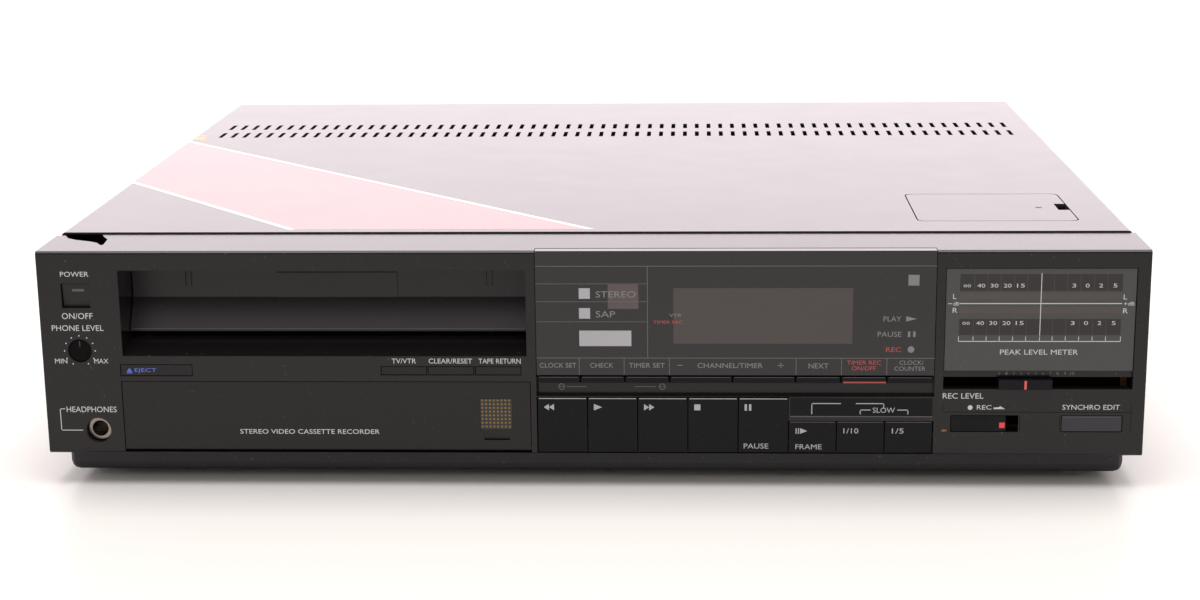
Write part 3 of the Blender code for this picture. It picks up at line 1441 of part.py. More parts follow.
def lift_carriage():
    """Inverted tray that straddles the basket and carries it inward."""
    x_low, x_high, _, _, _, high = basket_span()
    gap = RUNNING_GAP
    near = front + CARRIAGE_START
    far = near + CARRIAGE_DEPTH
    under = high + gap
    outline = [
        (x_low - gap, under - CARRIAGE_CHEEK_HEIGHT), (x_low - gap, under),
        (x_high + gap, under), (x_high + gap, under - CARRIAGE_CHEEK_HEIGHT),
        (x_high + gap + LIFT_WALL, under - CARRIAGE_CHEEK_HEIGHT),
        (x_high + gap + LIFT_WALL, under + LIFT_WALL), (x_low - gap - LIFT_WALL, under + LIFT_WALL),
        (x_low - gap - LIFT_WALL, under - CARRIAGE_CHEEK_HEIGHT),
    ]
    place("lift_carriage", prism("lift_carriage", outline, "Y", near, far), bare_steel(),
          ((x_low + x_high) / 2, near, under))


def lift_frame():
    """Two side plates on the deck, tied by bars over the carriage."""
    _, _, near, far, _, high = basket_span()
    gap = RUNNING_GAP
    half = lift_half_width()
    inner = half - LIFT_WALL
    end = far + BASKET_TRAVEL_IN
    bar = high + 2 * gap + LIFT_WALL
    top = bar + LIFT_WALL
    foot = deck_top + SEAT_GAP
    middle = cassette_middle
    weld = WELD_DEPTH
    frame = place("lift_frame", boxes("lift_frame", [
        ((middle - half, near, foot), (middle - inner, end, top)),
        ((middle + inner, near, foot), (middle + half, end, top))]), bare_steel())
    join(frame, boxes("lift_bars", [
        ((middle - inner - weld, near, bar), (middle + inner + weld, near + LIFT_BAR_WIDTH, top)),
        ((middle - inner - weld, end - LIFT_BAR_WIDTH, bar), (middle + inner + weld, end, top))]))
    join(frame, boxes("lift_feet", [
        ((middle - half - LIFT_FOOT / 2, near, foot),
         (middle - half + weld, end, foot + LIFT_WALL)),
        ((middle + half - weld, near, foot),
         (middle + half + LIFT_FOOT / 2, end, foot + LIFT_WALL))]))


def drum_centre():
    """Middle of the head drum, clear behind the basket when that is fully in."""
    _, _, _, far, _, _ = basket_span()
    return cassette_middle, far + BASKET_TRAVEL_IN + DRUM_BASKET_CLEARANCE + DRUM_RADIUS


def reel_centres():
    """Both reel tables, under the middle of the cassette when it is fully in."""
    _, _, near, far, _, _ = basket_span()
    y = (near + far) / 2 + BASKET_TRAVEL_IN
    return ((cassette_middle - REEL_SPACING / 2, y), (cassette_middle + REEL_SPACING / 2, y))


def capstan_place():
    _, _, _, far, _, _ = basket_span()
    return (cassette_middle + CAPSTAN_ACROSS,
            far + BASKET_TRAVEL_IN + CAPSTAN_BASKET_CLEARANCE + CAPSTAN_RADIUS)


def ring_pads():
    """Seats of the threading ring, evenly spaced round the drum."""
    centre = drum_centre()
    radius = (RING_INNER_RADIUS + RING_OUTER_RADIUS) / 2
    points = []
    for index in range(RING_PAD_COUNT):
        angle = 2 * math.pi * (index + 0.5) / RING_PAD_COUNT
        points.append((centre[0] + radius * math.cos(angle), centre[1] + radius * math.sin(angle)))
    return points


def mechanism_deck():
    """Deck plate on the tray's posts, with ring seats and holes for every shaft."""
    x_low, x_high, y_low, y_high = deck_span()
    deck = place("mechanism_deck", boxes("mechanism_deck", [
        ((x_low, y_low, deck_bottom), (x_high, y_high, deck_top))]), bare_steel())
    builder = bmesh.new()
    for point in ring_pads():
        add_cylinder(builder, point, RING_PAD_RADIUS, "Z", deck_top - WELD_DEPTH,
                     deck_top + RING_PAD_HEIGHT, SMALL_FACETS)
    join(deck, mesh_from(builder, "ring_seats"))
    builder = bmesh.new()
    holes = [(point, REEL_SHAFT_RADIUS) for point in reel_centres()]
    holes.append((capstan_place(), CAPSTAN_RADIUS))
    for point, radius in holes:
        add_cylinder(builder, point, radius + RUNNING_GAP, "Z", deck_bottom - CUT_OVERRUN,
                     deck_top + CUT_OVERRUN, SMALL_FACETS)
    cut(deck, mesh_from(builder, "shaft_holes"))


def turned(name, centre, profile, look, facets=ROUND_FACETS):
    """A round piece turned about a vertical axis through its origin."""
    builder = bmesh.new()
    add_turned_solid(builder, centre, profile, facets)
    item = place(name, mesh_from(builder, name), look, (*centre, 0.0))
    smooth_round(item)
    return item


def add_turned_solid(builder, centre, profile, facets):
    """Turns an open profile from its bottom to its top and caps both ends."""
    rings = []
    for radius, height in profile:
        rings.append([builder.verts.new((point[0], point[1], height))
                      for point in circle_points(centre, radius, facets)])
    builder.faces.new(rings[0][::-1])
    builder.faces.new(rings[-1])
    for lower, upper in zip(rings, rings[1:]):
        for step in range(facets):
            ahead = (step + 1) % facets
            builder.faces.new((lower[step], lower[ahead], upper[ahead], upper[step]))


def head_drum():
    """Fixed lower drum on the deck and the spinning upper drum above it."""
    centre = drum_centre()
    low = deck_top + SEAT_GAP
    split = low + DRUM_LOWER_HEIGHT
    turned("drum_lower", centre, [(DRUM_RADIUS, low), (DRUM_RADIUS, split)], cast_alloy(),
           LARGE_FACETS)
    start = split + DRUM_GAP
    high = start + DRUM_UPPER_HEIGHT
    hub = high + DRUM_SHAFT_RADIUS / 2
    turned("drum_upper", centre, [(DRUM_RADIUS, start), (DRUM_RADIUS, high),
                                  (DRUM_SHAFT_RADIUS, high), (DRUM_SHAFT_RADIUS, hub)],
           cast_alloy(), LARGE_FACETS)


def threading_ring():
    """Ring round the drum that draws the tape, with its guide posts standing on it."""
    centre = drum_centre()
    low = deck_top + RING_PAD_HEIGHT + SEAT_GAP
    high = low + RING_THICKNESS
    builder = bmesh.new()
    add_turned(builder, centre, [(RING_INNER_RADIUS, low), (RING_OUTER_RADIUS, low),
                                 (RING_OUTER_RADIUS, high), (RING_INNER_RADIUS, high)],
               LARGE_FACETS)
    ring = place("threading_ring", mesh_from(builder, "threading_ring"), bare_steel(),
                 (*centre, low))
    smooth_round(ring)
    builder = bmesh.new()
    radius = (RING_INNER_RADIUS + RING_OUTER_RADIUS) / 2
    for share in RING_POST_SHARES:
        angle = 2 * math.pi * share
        point = (centre[0] + radius * math.cos(angle), centre[1] + radius * math.sin(angle))
        add_cylinder(builder, point, RING_POST_RADIUS, "Z", high - WELD_DEPTH,
                     high + RING_POST_HEIGHT, SMALL_FACETS)
    join(ring, mesh_from(builder, "ring_posts"))


def reel_tables():
    """Supply and take-up tables: shaft in the deck, disc and hub under the cassette."""
    _, _, _, _, low, _ = basket_span()
    top = low - BASKET_TRAVEL_DOWN - REEL_BASKET_CLEARANCE
    disc = deck_top + REEL_RISE
    for name, centre in zip(("supply_reel", "takeup_reel"), reel_centres()):
        turned(name, centre, [
            (REEL_SHAFT_RADIUS, deck_bottom), (REEL_SHAFT_RADIUS, disc), (REEL_RADIUS, disc),
            (REEL_RADIUS, disc + REEL_DISC), (REEL_HUB_RADIUS, disc + REEL_DISC),
            (REEL_HUB_RADIUS, top)], black_plastic())


def capstan():
    """Capstan shaft through the deck with its flywheel below."""
    disc = deck_bottom - FLYWHEEL_DROP
    turned("capstan_flywheel", capstan_place(), [
        (FLYWHEEL_RADIUS, disc - FLYWHEEL_THICKNESS), (FLYWHEEL_RADIUS, disc),
        (CAPSTAN_RADIUS, disc), (CAPSTAN_RADIUS, deck_top + CAPSTAN_RISE)], bare_steel())


def main_board():
    """Main circuit board on the tray's posts, with its larger components."""
    x_low, x_high, y_low, y_high = main_board_span()
    low = tray_floor + MAIN_BOARD_RISE
    top = low + BOARD_THICKNESS
    board_depth = y_high - y_low
    board = place("main_board", boxes("main_board", [
        ((x_low, y_low, low), (x_high, y_high, top))]), board_laminate())
    builder = bmesh.new()
    for across, deep, radius, height in CAPACITOR_SHARES:
        point = (x_low + across * MAIN_BOARD_WIDTH, y_low + deep * board_depth)
        add_cylinder(builder, point, radius * MAIN_BOARD_WIDTH, "Z", top - WELD_DEPTH,
                     top + height * MAIN_BOARD_WIDTH, SMALL_FACETS)
    for across, deep, width, depth, height in SHIELD_SHARES:
        corner = (x_low + across * MAIN_BOARD_WIDTH, y_low + deep * board_depth)
        add_box(builder, (*corner, top - WELD_DEPTH),
                (corner[0] + width * MAIN_BOARD_WIDTH, corner[1] + depth * board_depth,
                 top + height * MAIN_BOARD_WIDTH))
    join(board, mesh_from(builder, "board_components"))


def power_transformer():
    """Laminated core standing on the tray with its winding passing through."""
    start = left + TRANSFORMER_LEFT
    near = transformer_front
    low = tray_floor + SEAT_GAP
    block = place("power_transformer", boxes("power_transformer", [
        ((start, near, low), (start + TRANSFORMER_WIDTH, near + TRANSFORMER_DEPTH,
                              low + TRANSFORMER_HEIGHT))]), bare_steel())
    inset = TRANSFORMER_COIL_INSET
    middle = low + TRANSFORMER_HEIGHT / 2
    join(block, boxes("transformer_coil", [
        ((start + inset, near - TRANSFORMER_COIL_REACH, middle - TRANSFORMER_COIL_HEIGHT / 2),
         (start + TRANSFORMER_WIDTH - inset, near + TRANSFORMER_DEPTH + TRANSFORMER_COIL_REACH,
          middle + TRANSFORMER_COIL_HEIGHT / 2))]))


def build():
    clear_scene()
    feet()
    bottom_tray()
    front_bezel()
    centre_panel()
    top_cover()
    preset_well()
    top_lid()
    rear_panel()
    rear_sockets()
    lead_gland()
    power_button()
    level_knob()
    headphone_jack()
    strip_buttons()
    small_buttons()
    transport_keys()
    level_meter()
    level_slider()
    record_controls()
    front_boards()
    display_tube()
    cassette_flap()
    control_door()
    compartment_controls()
    mechanism_deck()
    lift_frame()
    lift_carriage()
    cassette_basket()
    head_drum()
    threading_ring()
    reel_tables()
    capstan()
    main_board()
    power_transformer()


build()
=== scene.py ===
"""A front-loading video cassette recorder on a white studio floor.

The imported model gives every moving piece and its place. The sections below dress the pieces in the
order in which the machine is put together, and add the printing, lenses and small trim.
"""

import math

import bmesh
import bpy
from mathutils import Matrix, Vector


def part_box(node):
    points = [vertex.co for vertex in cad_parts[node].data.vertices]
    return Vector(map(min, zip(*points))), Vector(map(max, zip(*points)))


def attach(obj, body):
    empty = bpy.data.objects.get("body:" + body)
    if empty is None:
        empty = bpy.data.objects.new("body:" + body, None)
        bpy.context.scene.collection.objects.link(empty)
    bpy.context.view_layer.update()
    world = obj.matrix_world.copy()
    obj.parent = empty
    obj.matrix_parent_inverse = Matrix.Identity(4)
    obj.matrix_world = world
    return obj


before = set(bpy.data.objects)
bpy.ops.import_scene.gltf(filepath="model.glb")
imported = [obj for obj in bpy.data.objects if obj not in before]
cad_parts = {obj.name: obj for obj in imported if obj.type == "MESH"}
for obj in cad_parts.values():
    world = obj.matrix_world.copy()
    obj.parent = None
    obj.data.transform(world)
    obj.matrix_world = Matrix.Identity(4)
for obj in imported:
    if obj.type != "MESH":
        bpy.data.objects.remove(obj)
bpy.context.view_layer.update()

# Room
# A white room, brightest behind the machine, with one soft box overhead, as for a product photograph.
# The floor is matt card with a faint sheen.
BACKDROP_GLOW = 2.45
CEILING_GLOW = 1.8
FRONT_GLOW = 0.42
ROOM_GLOW = 0.90
CARD_GLOW = 1.05
ROOM_TINT = (1.0, 0.985, 0.985, 1.0)
BACKDROP_TINT = (1.0, 0.905, 0.935, 1.0)
SOFT_BOX_POWER = 26.0
SOFT_BOX_SIZE = 1.3
SOFT_BOX_HEIGHT = 1.5
FLOOR_SIZE = 30.0
FLOOR_COLOUR = (0.66, 0.630, 0.600)

scene = bpy.context.scene
scene.view_settings.view_transform = "Standard"


def node(tree, kind, values=None, **settings):
    """Adds a shader node, sets its properties and fills its unlinked sockets."""
    made = tree.nodes.new(kind)
    for key, value in settings.items():
        setattr(made, key, value)
    for key, value in (values or {}).items():
        made.inputs[key].default_value = value
    return made


def studio_light():
    """World whose glow follows direction: backdrop behind, ceiling above, dim in front."""
    world = bpy.data.worlds.new("studio")
    scene.world = world
    world.use_nodes = True
    tree = world.node_tree
    tree.nodes.clear()
    place = node(tree, "ShaderNodeTexCoord")
    split = node(tree, "ShaderNodeSeparateXYZ")
    behind = node(tree, "ShaderNodeMapRange", {"From Min": -0.35, "From Max": 0.55,
                                               "To Min": FRONT_GLOW, "To Max": BACKDROP_GLOW},
                  interpolation_type="SMOOTHSTEP")
    above = node(tree, "ShaderNodeMapRange", {"From Min": 0.35, "From Max": 0.85,
                                              "To Min": 0.0, "To Max": 1.0},
                 interpolation_type="SMOOTHSTEP")
    blend = node(tree, "ShaderNodeMix", {"B": CEILING_GLOW}, data_type="FLOAT")
    ray = node(tree, "ShaderNodeLightPath")
    soft = node(tree, "ShaderNodeMix", {"A": ROOM_GLOW}, data_type="FLOAT")
    shown = node(tree, "ShaderNodeMix", {"B": CARD_GLOW}, data_type="FLOAT")
    tint = node(tree, "ShaderNodeMix", data_type="RGBA")
    tint.inputs["A"].default_value = ROOM_TINT
    tint.inputs["B"].default_value = BACKDROP_TINT
    glow = node(tree, "ShaderNodeBackground")
    out = node(tree, "ShaderNodeOutputWorld")
    link = tree.links.new
    link(place.outputs["Generated"], split.inputs[0])
    link(split.outputs["Y"], behind.inputs["Value"])
    link(split.outputs["Z"], above.inputs["Value"])
    link(above.outputs["Result"], blend.inputs["Factor"])
    link(behind.outputs["Result"], blend.inputs["A"])
    link(ray.outputs["Is Glossy Ray"], soft.inputs["Factor"])
    link(ray.outputs["Is Glossy Ray"], tint.inputs["Factor"])
    link(blend.outputs["Result"], soft.inputs["B"])
    link(ray.outputs["Is Camera Ray"], shown.inputs["Factor"])
    link(soft.outputs["Result"], shown.inputs["A"])
    link(shown.outputs["Result"], glow.inputs["Strength"])
    link(tint.outputs["Result"], glow.inputs["Color"])
    link(glow.outputs["Background"], out.inputs["Surface"])
    lamp = bpy.data.lights.new("soft_box", "AREA")
    lamp.shape = "SQUARE"
    lamp.size = SOFT_BOX_SIZE
    lamp.energy = SOFT_BOX_POWER
    box = bpy.data.objects.new("soft_box", lamp)
    box.location = (0.0, -SOFT_BOX_SIZE / 5, SOFT_BOX_HEIGHT)
    scene.collection.objects.link(box)


def white_floor():
    """One large flat card under the machine."""
    half = FLOOR_SIZE / 2
    sheet = bpy.data.meshes.new("floor")
    sheet.from_pydata([(-half, -half, 0), (half, -half, 0), (half, half, 0), (-half, half, 0)], [],
                      [(0, 1, 2, 3)])
    card = bpy.data.materials.new("white_card")
    card.use_nodes = True
    shader = card.node_tree.nodes["Principled BSDF"]
    shader.inputs["Base Color"].default_value = (*FLOOR_COLOUR, 1.0)
    shader.inputs["Roughness"].default_value = 0.3
    shader.inputs["Specular IOR Level"].default_value = 0.12
    sheet.materials.append(card)
    floor = bpy.data.objects.new("floor", sheet)
    scene.collection.objects.link(floor)


studio_light()
white_floor()

# Camera
# Worked out from the front's four corners and the cover's edges in the photograph.
# It stands a little right of the middle, less than a metre away, and looks slightly down.
LENS = 63.42
SENSOR = 36.0
CAMERA_PLACE = (0.0408, -0.9794, 0.2712)
CAMERA_YAW = math.radians(2.61)
CAMERA_PITCH = math.radians(-13.825)
CAMERA_ROLL = math.radians(0.64)

turn = (Matrix.Rotation(CAMERA_YAW, 3, "Z") @ Matrix.Rotation(CAMERA_PITCH, 3, "X")
        @ Matrix.Rotation(CAMERA_ROLL, 3, "Y"))
axes = Matrix((turn.col[0], turn.col[2], -turn.col[1])).transposed()
lens = bpy.data.cameras.new("camera")
lens.lens = LENS
lens.sensor_width = SENSOR
lens.clip_start = 0.05
lens.clip_end = 100.0
camera = bpy.data.objects.new("camera", lens)
camera.matrix_world = Matrix.Translation(CAMERA_PLACE) @ axes.to_4x4()
scene.collection.objects.link(camera)
scene.camera = camera

# Bottom tray and feet
# The tray is a black moulded pan that forms the plinth under the whole machine.
# Four rubber feet are pushed into its underside.
TRAY_COLOUR = (0.0095, 0.0085, 0.0110)
RUBBER_COLOUR = (0.010, 0.010, 0.010)
DUST_COLOUR = (0.42, 0.40, 0.40, 1.0)
MOTTLE_SCALE = 38.0
SPECK_SCALE = 900.0
FLAT_ANGLE = math.radians(0.5)
EDGE_ANGLE = math.radians(40)
MILLIMETRE = 0.001


def finish(name, colour, roughness, metallic=0.0, specular=0.5, grain=0.35, grain_depth=0.04,
           mottle=0.10, dust=0.0, brushed=1.0):
    """Makes the surface of a moulded, painted or metal piece.

    grain is the size of the fine texture in millimetres and grain_depth its height, mottle is how far
    the colour and the sheen wander over the surface, and dust is how much settles on it as specks.
    """
    look = bpy.data.materials.new(name)
    look.use_nodes = True
    tree = look.node_tree
    link = tree.links.new
    shader = tree.nodes["Principled BSDF"]
    shader.inputs["Metallic"].default_value = metallic
    shader.inputs["Specular IOR Level"].default_value = specular
    place = node(tree, "ShaderNodeTexCoord")
    stretch = node(tree, "ShaderNodeMapping", {"Scale": (1.0 / brushed, 1.0, 1.0)})
    link(place.outputs["Object"], stretch.inputs["Vector"])
    broad = node(tree, "ShaderNodeTexNoise", {"Scale": MOTTLE_SCALE, "Detail": 4.0, "Roughness": 0.6})
    link(place.outputs["Object"], broad.inputs["Vector"])
    light = node(tree, "ShaderNodeMix", data_type="RGBA")
    light.inputs["A"].default_value = (*[part * (1 - mottle) for part in colour], 1.0)
    light.inputs["B"].default_value = (*[min(1.0, part * (1 + mottle)) for part in colour], 1.0)
    link(broad.outputs["Fac"], light.inputs["Factor"])
    tone = light.outputs["Result"]
    if dust:
        specks = node(tree, "ShaderNodeTexNoise", {"Scale": SPECK_SCALE, "Detail": 2.0})
        patch = node(tree, "ShaderNodeMapRange", {"From Min": 0.70, "From Max": 0.80,
                                                  "To Min": 0.0, "To Max": dust})
        film = node(tree, "ShaderNodeMix", {"B": DUST_COLOUR}, data_type="RGBA")
        link(place.outputs["Object"], specks.inputs["Vector"])
        link(specks.outputs["Fac"], patch.inputs["Value"])
        link(patch.outputs["Result"], film.inputs["Factor"])
        link(tone, film.inputs["A"])
        tone = film.outputs["Result"]
    link(tone, shader.inputs["Base Color"])
    sheen = node(tree, "ShaderNodeMapRange", {"From Min": 0.3, "From Max": 0.7,
                                              "To Min": roughness * (1 - mottle / 2),
                                              "To Max": roughness * (1 + mottle / 2)})
    link(broad.outputs["Fac"], sheen.inputs["Value"])
    link(sheen.outputs["Result"], shader.inputs["Roughness"])
    fine = node(tree, "ShaderNodeTexNoise", {"Scale": 1000.0 / grain, "Detail": 3.0})
    relief = node(tree, "ShaderNodeBump", {"Strength": 0.5, "Distance": grain_depth * MILLIMETRE})
    link(stretch.outputs["Vector"], fine.inputs["Vector"])
    link(fine.outputs["Fac"], relief.inputs["Height"])
    link(relief.outputs["Normal"], shader.inputs["Normal"])
    return look


def dress(name, look, edge=0.25, steps=2):
    """Gives a CAD node its surface and breaks its sharp edges by a small radius in millimetres."""
    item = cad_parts[name]
    item.data.materials.clear()
    item.data.materials.append(look)
    if edge:
        flat = item.modifiers.new("flat_faces", "DECIMATE")
        flat.decimate_type = "DISSOLVE"
        flat.angle_limit = FLAT_ANGLE
        soft = item.modifiers.new("soft_edges", "BEVEL")
        soft.width = edge * MILLIMETRE
        soft.segments = steps
        soft.limit_method = "ANGLE"
        soft.angle_limit = EDGE_ANGLE
        soft.harden_normals = True
    return item


tray_black = finish("tray_black", TRAY_COLOUR, 0.42, specular=0.4, grain=0.6, dust=0.25)
foot_rubber = finish("foot_rubber", RUBBER_COLOUR, 0.85, specular=0.3, grain=0.4, grain_depth=0.08)
dress("bottom_tray", tray_black, edge=0.0)
for corner in ("front_left", "front_right", "rear_left", "rear_right"):
    dress(f"foot_{corner}", foot_rubber, edge=0.8)

# Front bezel
# One large ABS moulding in satin dark grey, which carries every control.
# Its top rear left corner has snapped away. The legends are screen printed on it in pale grey.
BEZEL_COLOUR = (0.0075, 0.0060, 0.0065)
INK_COLOUR = (0.50, 0.50, 0.50)
PRINT_THICKNESS = 0.00003

bezel_low, bezel_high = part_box("front_bezel")
left_edge = bezel_low.x
bezel_top = bezel_high.z
bezel_front = bezel_low.y

bezel_grey = finish("bezel_grey", BEZEL_COLOUR, 0.20, specular=0.34, grain=0.5, grain_depth=0.02,
                    dust=0.16)
pale_ink = finish("pale_ink", INK_COLOUR, 0.55, specular=0.3, grain=0.3, mottle=0.06)
dress("front_bezel", bezel_grey, edge=0.22)


def across(millimetres):
    """Place along the front, measured from its left edge."""
    return left_edge + millimetres * MILLIMETRE


def down(millimetres):
    """Height on the front, measured down from its top edge."""
    return bezel_top - millimetres * MILLIMETRE


def add_block(mesh, span, face, thickness=PRINT_THICKNESS):
    """Flat bar on the front: left, right, top and bottom in millimetres."""
    x_low, x_high = across(span[0]), across(span[1])
    z_high, z_low = down(span[2]), down(span[3])
    middle = ((x_low + x_high) / 2, face - thickness / 2, (z_low + z_high) / 2)
    size = (x_high - x_low, thickness, z_high - z_low, 1.0)
    bmesh.ops.create_cube(mesh, size=1.0,
                          matrix=Matrix.Translation(middle) @ Matrix.Diagonal(size))


def add_shape(mesh, points, face, thickness=PRINT_THICKNESS):
    """Flat outline on the front, its corners given in millimetres across and down."""
    front = [mesh.verts.new((across(x), face - thickness, down(z))) for x, z in points]
    back = [mesh.verts.new((across(x), face, down(z))) for x, z in points]
    mesh.faces.new(front)
    mesh.faces.new(back[::-1])
    for index in range(len(points)):
        ahead = (index + 1) % len(points)
        mesh.faces.new((front[index], back[index], back[ahead], front[ahead]))


def add_dot(mesh, middle, radius, face, thickness=PRINT_THICKNESS, facets=14):
    """Round dot on the front."""
    points = []
    for index in range(facets):
        angle = 2 * math.pi * index / facets
        points.append((middle[0] + radius * math.cos(angle), middle[1] + radius * math.sin(angle)))
    add_shape(mesh, points, face, thickness)


def add_words(mesh, text, span, face, thickness=PRINT_THICKNESS):
    """Lettering that fills a span: left, right, top and bottom in millimetres."""
    curve = bpy.data.curves.new("lettering", "FONT")
    curve.body = text
    curve.extrude = 0.5
    curve.resolution_u = 3
    holder = bpy.data.objects.new("lettering", curve)
    scene.collection.objects.link(holder)
    bpy.context.view_layer.update()
    letters = bpy.data.meshes.new_from_object(holder.evaluated_get(
        bpy.context.evaluated_depsgraph_get()))
    points = [vertex.co for vertex in letters.vertices]
    low_x, high_x = min(p.x for p in points), max(p.x for p in points)
    low_y, high_y = min(p.y for p in points), max(p.y for p in points)
    width = across(span[1]) - across(span[0])
    height = down(span[2]) - down(span[3])
    for point in points:
        point.xyz = (across(span[0]) + (point.x - low_x) / (high_x - low_x) * width,
                     face - (point.z + 0.5) * thickness,
                     down(span[3]) + (point.y - low_y) / (high_y - low_y) * height)
    mesh.from_mesh(letters)
    bpy.data.objects.remove(holder)
    bpy.data.curves.remove(curve)
    bpy.data.meshes.remove(letters)


def piece(name, mesh, look, body="casing", edge=0.0):
    """Turns the drawn mesh into a named piece that rides on a body."""
    bmesh.ops.remove_doubles(mesh, verts=mesh.verts, dist=1e-7)
    bmesh.ops.recalc_face_normals(mesh, faces=mesh.faces)
    data = bpy.data.meshes.new(name)
    mesh.to_mesh(data)
    mesh.free()
    data.materials.append(look)
    item = bpy.data.objects.new(name, data)
    scene.collection.objects.link(item)
    if edge:
        soft = item.modifiers.new("soft_edges", "BEVEL")
        soft.width = edge * MILLIMETRE
        soft.segments = 2
        soft.limit_method = "ANGLE"
    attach(item, body)
    return item


FRONT_WORDS = (
    ("POWER", (9.3, 20.5, 8.0, 10.0)),
    ("ON/OFF", (8.8, 21.0, 24.6, 27.0)),
    ("PHONE LEVEL", (4.5, 25.0, 29.5, 31.8)),
    ("MIN", (4.8, 9.7, 43.1, 45.0)),
    ("MAX", (20.4, 26.0, 43.1, 45.0)),
    ("HEADPHONES", (8.0, 28.0, 62.7, 65.0)),
    ("TV/VTR", (138.0, 147.5, 42.9, 44.9)),
    ("CLEAR/RESET", (152.5, 169.5, 42.9, 44.9)),
    ("TAPE RETURN", (172.0, 188.5, 42.9, 44.9)),
    ("REC LEVEL", (352.3, 368.0, 56.6, 58.8)),
    ("REC", (365.6, 371.2, 61.4, 63.2)),
    ("SYNCHRO EDIT", (398.5, 420.5, 61.2, 63.2)),
)
HEADPHONE_LINE = ((5.3, 7.4, 63.5, 63.8), (5.3, 5.6, 63.5, 72.6), (5.3, 14.0, 72.3, 72.6))
KNOB_MIDDLE = (15.0, 39.9)
KNOB_DOT_CIRCLE = 6.1
KNOB_DOT_RADIUS = 0.27
KNOB_DOTS = 11
REC_DOT = (363.0, 62.4)
REC_ARROW = ((372.0, 62.4), (374.4, 62.2), (374.4, 61.7), (376.5, 63.0), (372.0, 63.0))
ROW_SEAMS = ((352.5, 425.0, 64.15, 64.35), (352.4, 352.55, 61.0, 64.2), (424.85, 425.0, 61.0, 72.0),
             (382.2, 382.4, 65.6, 71.9), (397.6, 397.8, 65.6, 71.9))
SCUFF = ((352.0, 71.8), (352.9, 71.2), (354.3, 71.5), (354.0, 72.1), (352.4, 72.2))

legends = bmesh.new()
for text, span in FRONT_WORDS:
    add_words(legends, text, span, bezel_front)
for span in HEADPHONE_LINE:
    add_block(legends, span, bezel_front)
for index in range(KNOB_DOTS):
    angle = math.radians(120 + 300 * index / (KNOB_DOTS - 1))
    add_dot(legends, (KNOB_MIDDLE[0] + KNOB_DOT_CIRCLE * math.cos(angle),
                      KNOB_MIDDLE[1] + KNOB_DOT_CIRCLE * math.sin(angle)), KNOB_DOT_RADIUS,
            bezel_front)
add_dot(legends, REC_DOT, 0.95, bezel_front)
add_shape(legends, REC_ARROW, bezel_front)
piece("front_legends", legends, pale_ink)
seams = bmesh.new()
for span in ROW_SEAMS:
    add_block(seams, span, bezel_front)
piece("record_row_seams", seams, finish("seam_black", (0.0020, 0.0020, 0.0022), 0.6, specular=0.1))
scuff = bmesh.new()
add_shape(scuff, SCUFF, bezel_front)
piece("corner_scuff", scuff, finish("scuff_brown", (0.22, 0.085, 0.025), 0.6, mottle=0.3))

# Top cover
# Sheet steel folded over both sides and stove painted in the bezel's dark grey.
# Two rows of slots are punched over the power supply, and a red paper label runs across its left end.
COVER_COLOUR = (0.0240, 0.0210, 0.0225)
LABEL_RED = (0.33, 0.11, 0.115)
LABEL_CREAM = (0.70, 0.60, 0.50)
GLUE_COLOUR = (0.62, 0.25, 0.09)
LABEL_THICKNESS = 0.00004
LABEL_BORDER = 3.0
LABEL_OUTLINE = ((1.6, 255.0), (1.6, 141.0), (92.0, 38.0), (216.0, 38.0))
GLUE_SPOTS = (((5.0, 262.0), 3.4), ((4.2, 270.0), 2.2), ((8.4, 256.0), 1.5))

cover_paint = finish("cover_paint", COVER_COLOUR, 0.24, specular=0.55, grain=0.45,
                     grain_depth=0.012, mottle=0.07, dust=0.05)
dress("top_cover", cover_paint, edge=0.12)
cover_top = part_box("top_cover")[1].z


def back_from_front(millimetres):
    """Place along the depth, measured from the bezel's face."""
    return bezel_front + millimetres * MILLIMETRE


def add_sheet(mesh, points, low, high):
    """Flat outline lying on the top, its corners given in millimetres across and back."""
    top = [mesh.verts.new((across(x), back_from_front(y), high)) for x, y in points]
    base = [mesh.verts.new((across(x), back_from_front(y), low)) for x, y in points]
    mesh.faces.new(top)
    mesh.faces.new(base[::-1])
    for index in range(len(points)):
        ahead = (index + 1) % len(points)
        mesh.faces.new((top[index], top[ahead], base[ahead], base[index]))


def paper(name, colour):
    """Printed paper gone pale, with a soft sheen."""
    return finish(name, colour, 0.25, specular=0.5, grain=0.8, grain_depth=0.006, mottle=0.12)


def border_strip(start, end, shift):
    """Strip of the label's border inside one of its slanting edges, cut at the cover's left edge."""
    slope = (end[1] - start[1]) / (end[0] - start[0])
    return (start, end, (end[0] + shift, end[1]), (start[0], start[1] - shift * slope))


label = bmesh.new()
add_sheet(label, LABEL_OUTLINE, cover_top - LABEL_THICKNESS, cover_top + LABEL_THICKNESS / 2)
piece("label_field", label, paper("label_red", LABEL_RED))
border = bmesh.new()
for start, end, shift in ((LABEL_OUTLINE[0], LABEL_OUTLINE[3], -LABEL_BORDER),
                          (LABEL_OUTLINE[1], LABEL_OUTLINE[2], LABEL_BORDER)):
    add_sheet(border, border_strip(start, end, shift), cover_top - LABEL_THICKNESS,
              cover_top + LABEL_THICKNESS)
piece("label_border", border, paper("label_cream", LABEL_CREAM))
glue = bmesh.new()
for middle, radius in GLUE_SPOTS:
    ring = [(middle[0] + radius * math.cos(math.tau * index / 12),
             middle[1] + radius * math.sin(math.tau * index / 12)) for index in range(12)]
    add_sheet(glue, ring, cover_top - LABEL_THICKNESS, cover_top + 1.4 * LABEL_THICKNESS)
piece("label_glue", glue, finish("old_glue", GLUE_COLOUR, 0.3, grain=1.5, mottle=0.3))

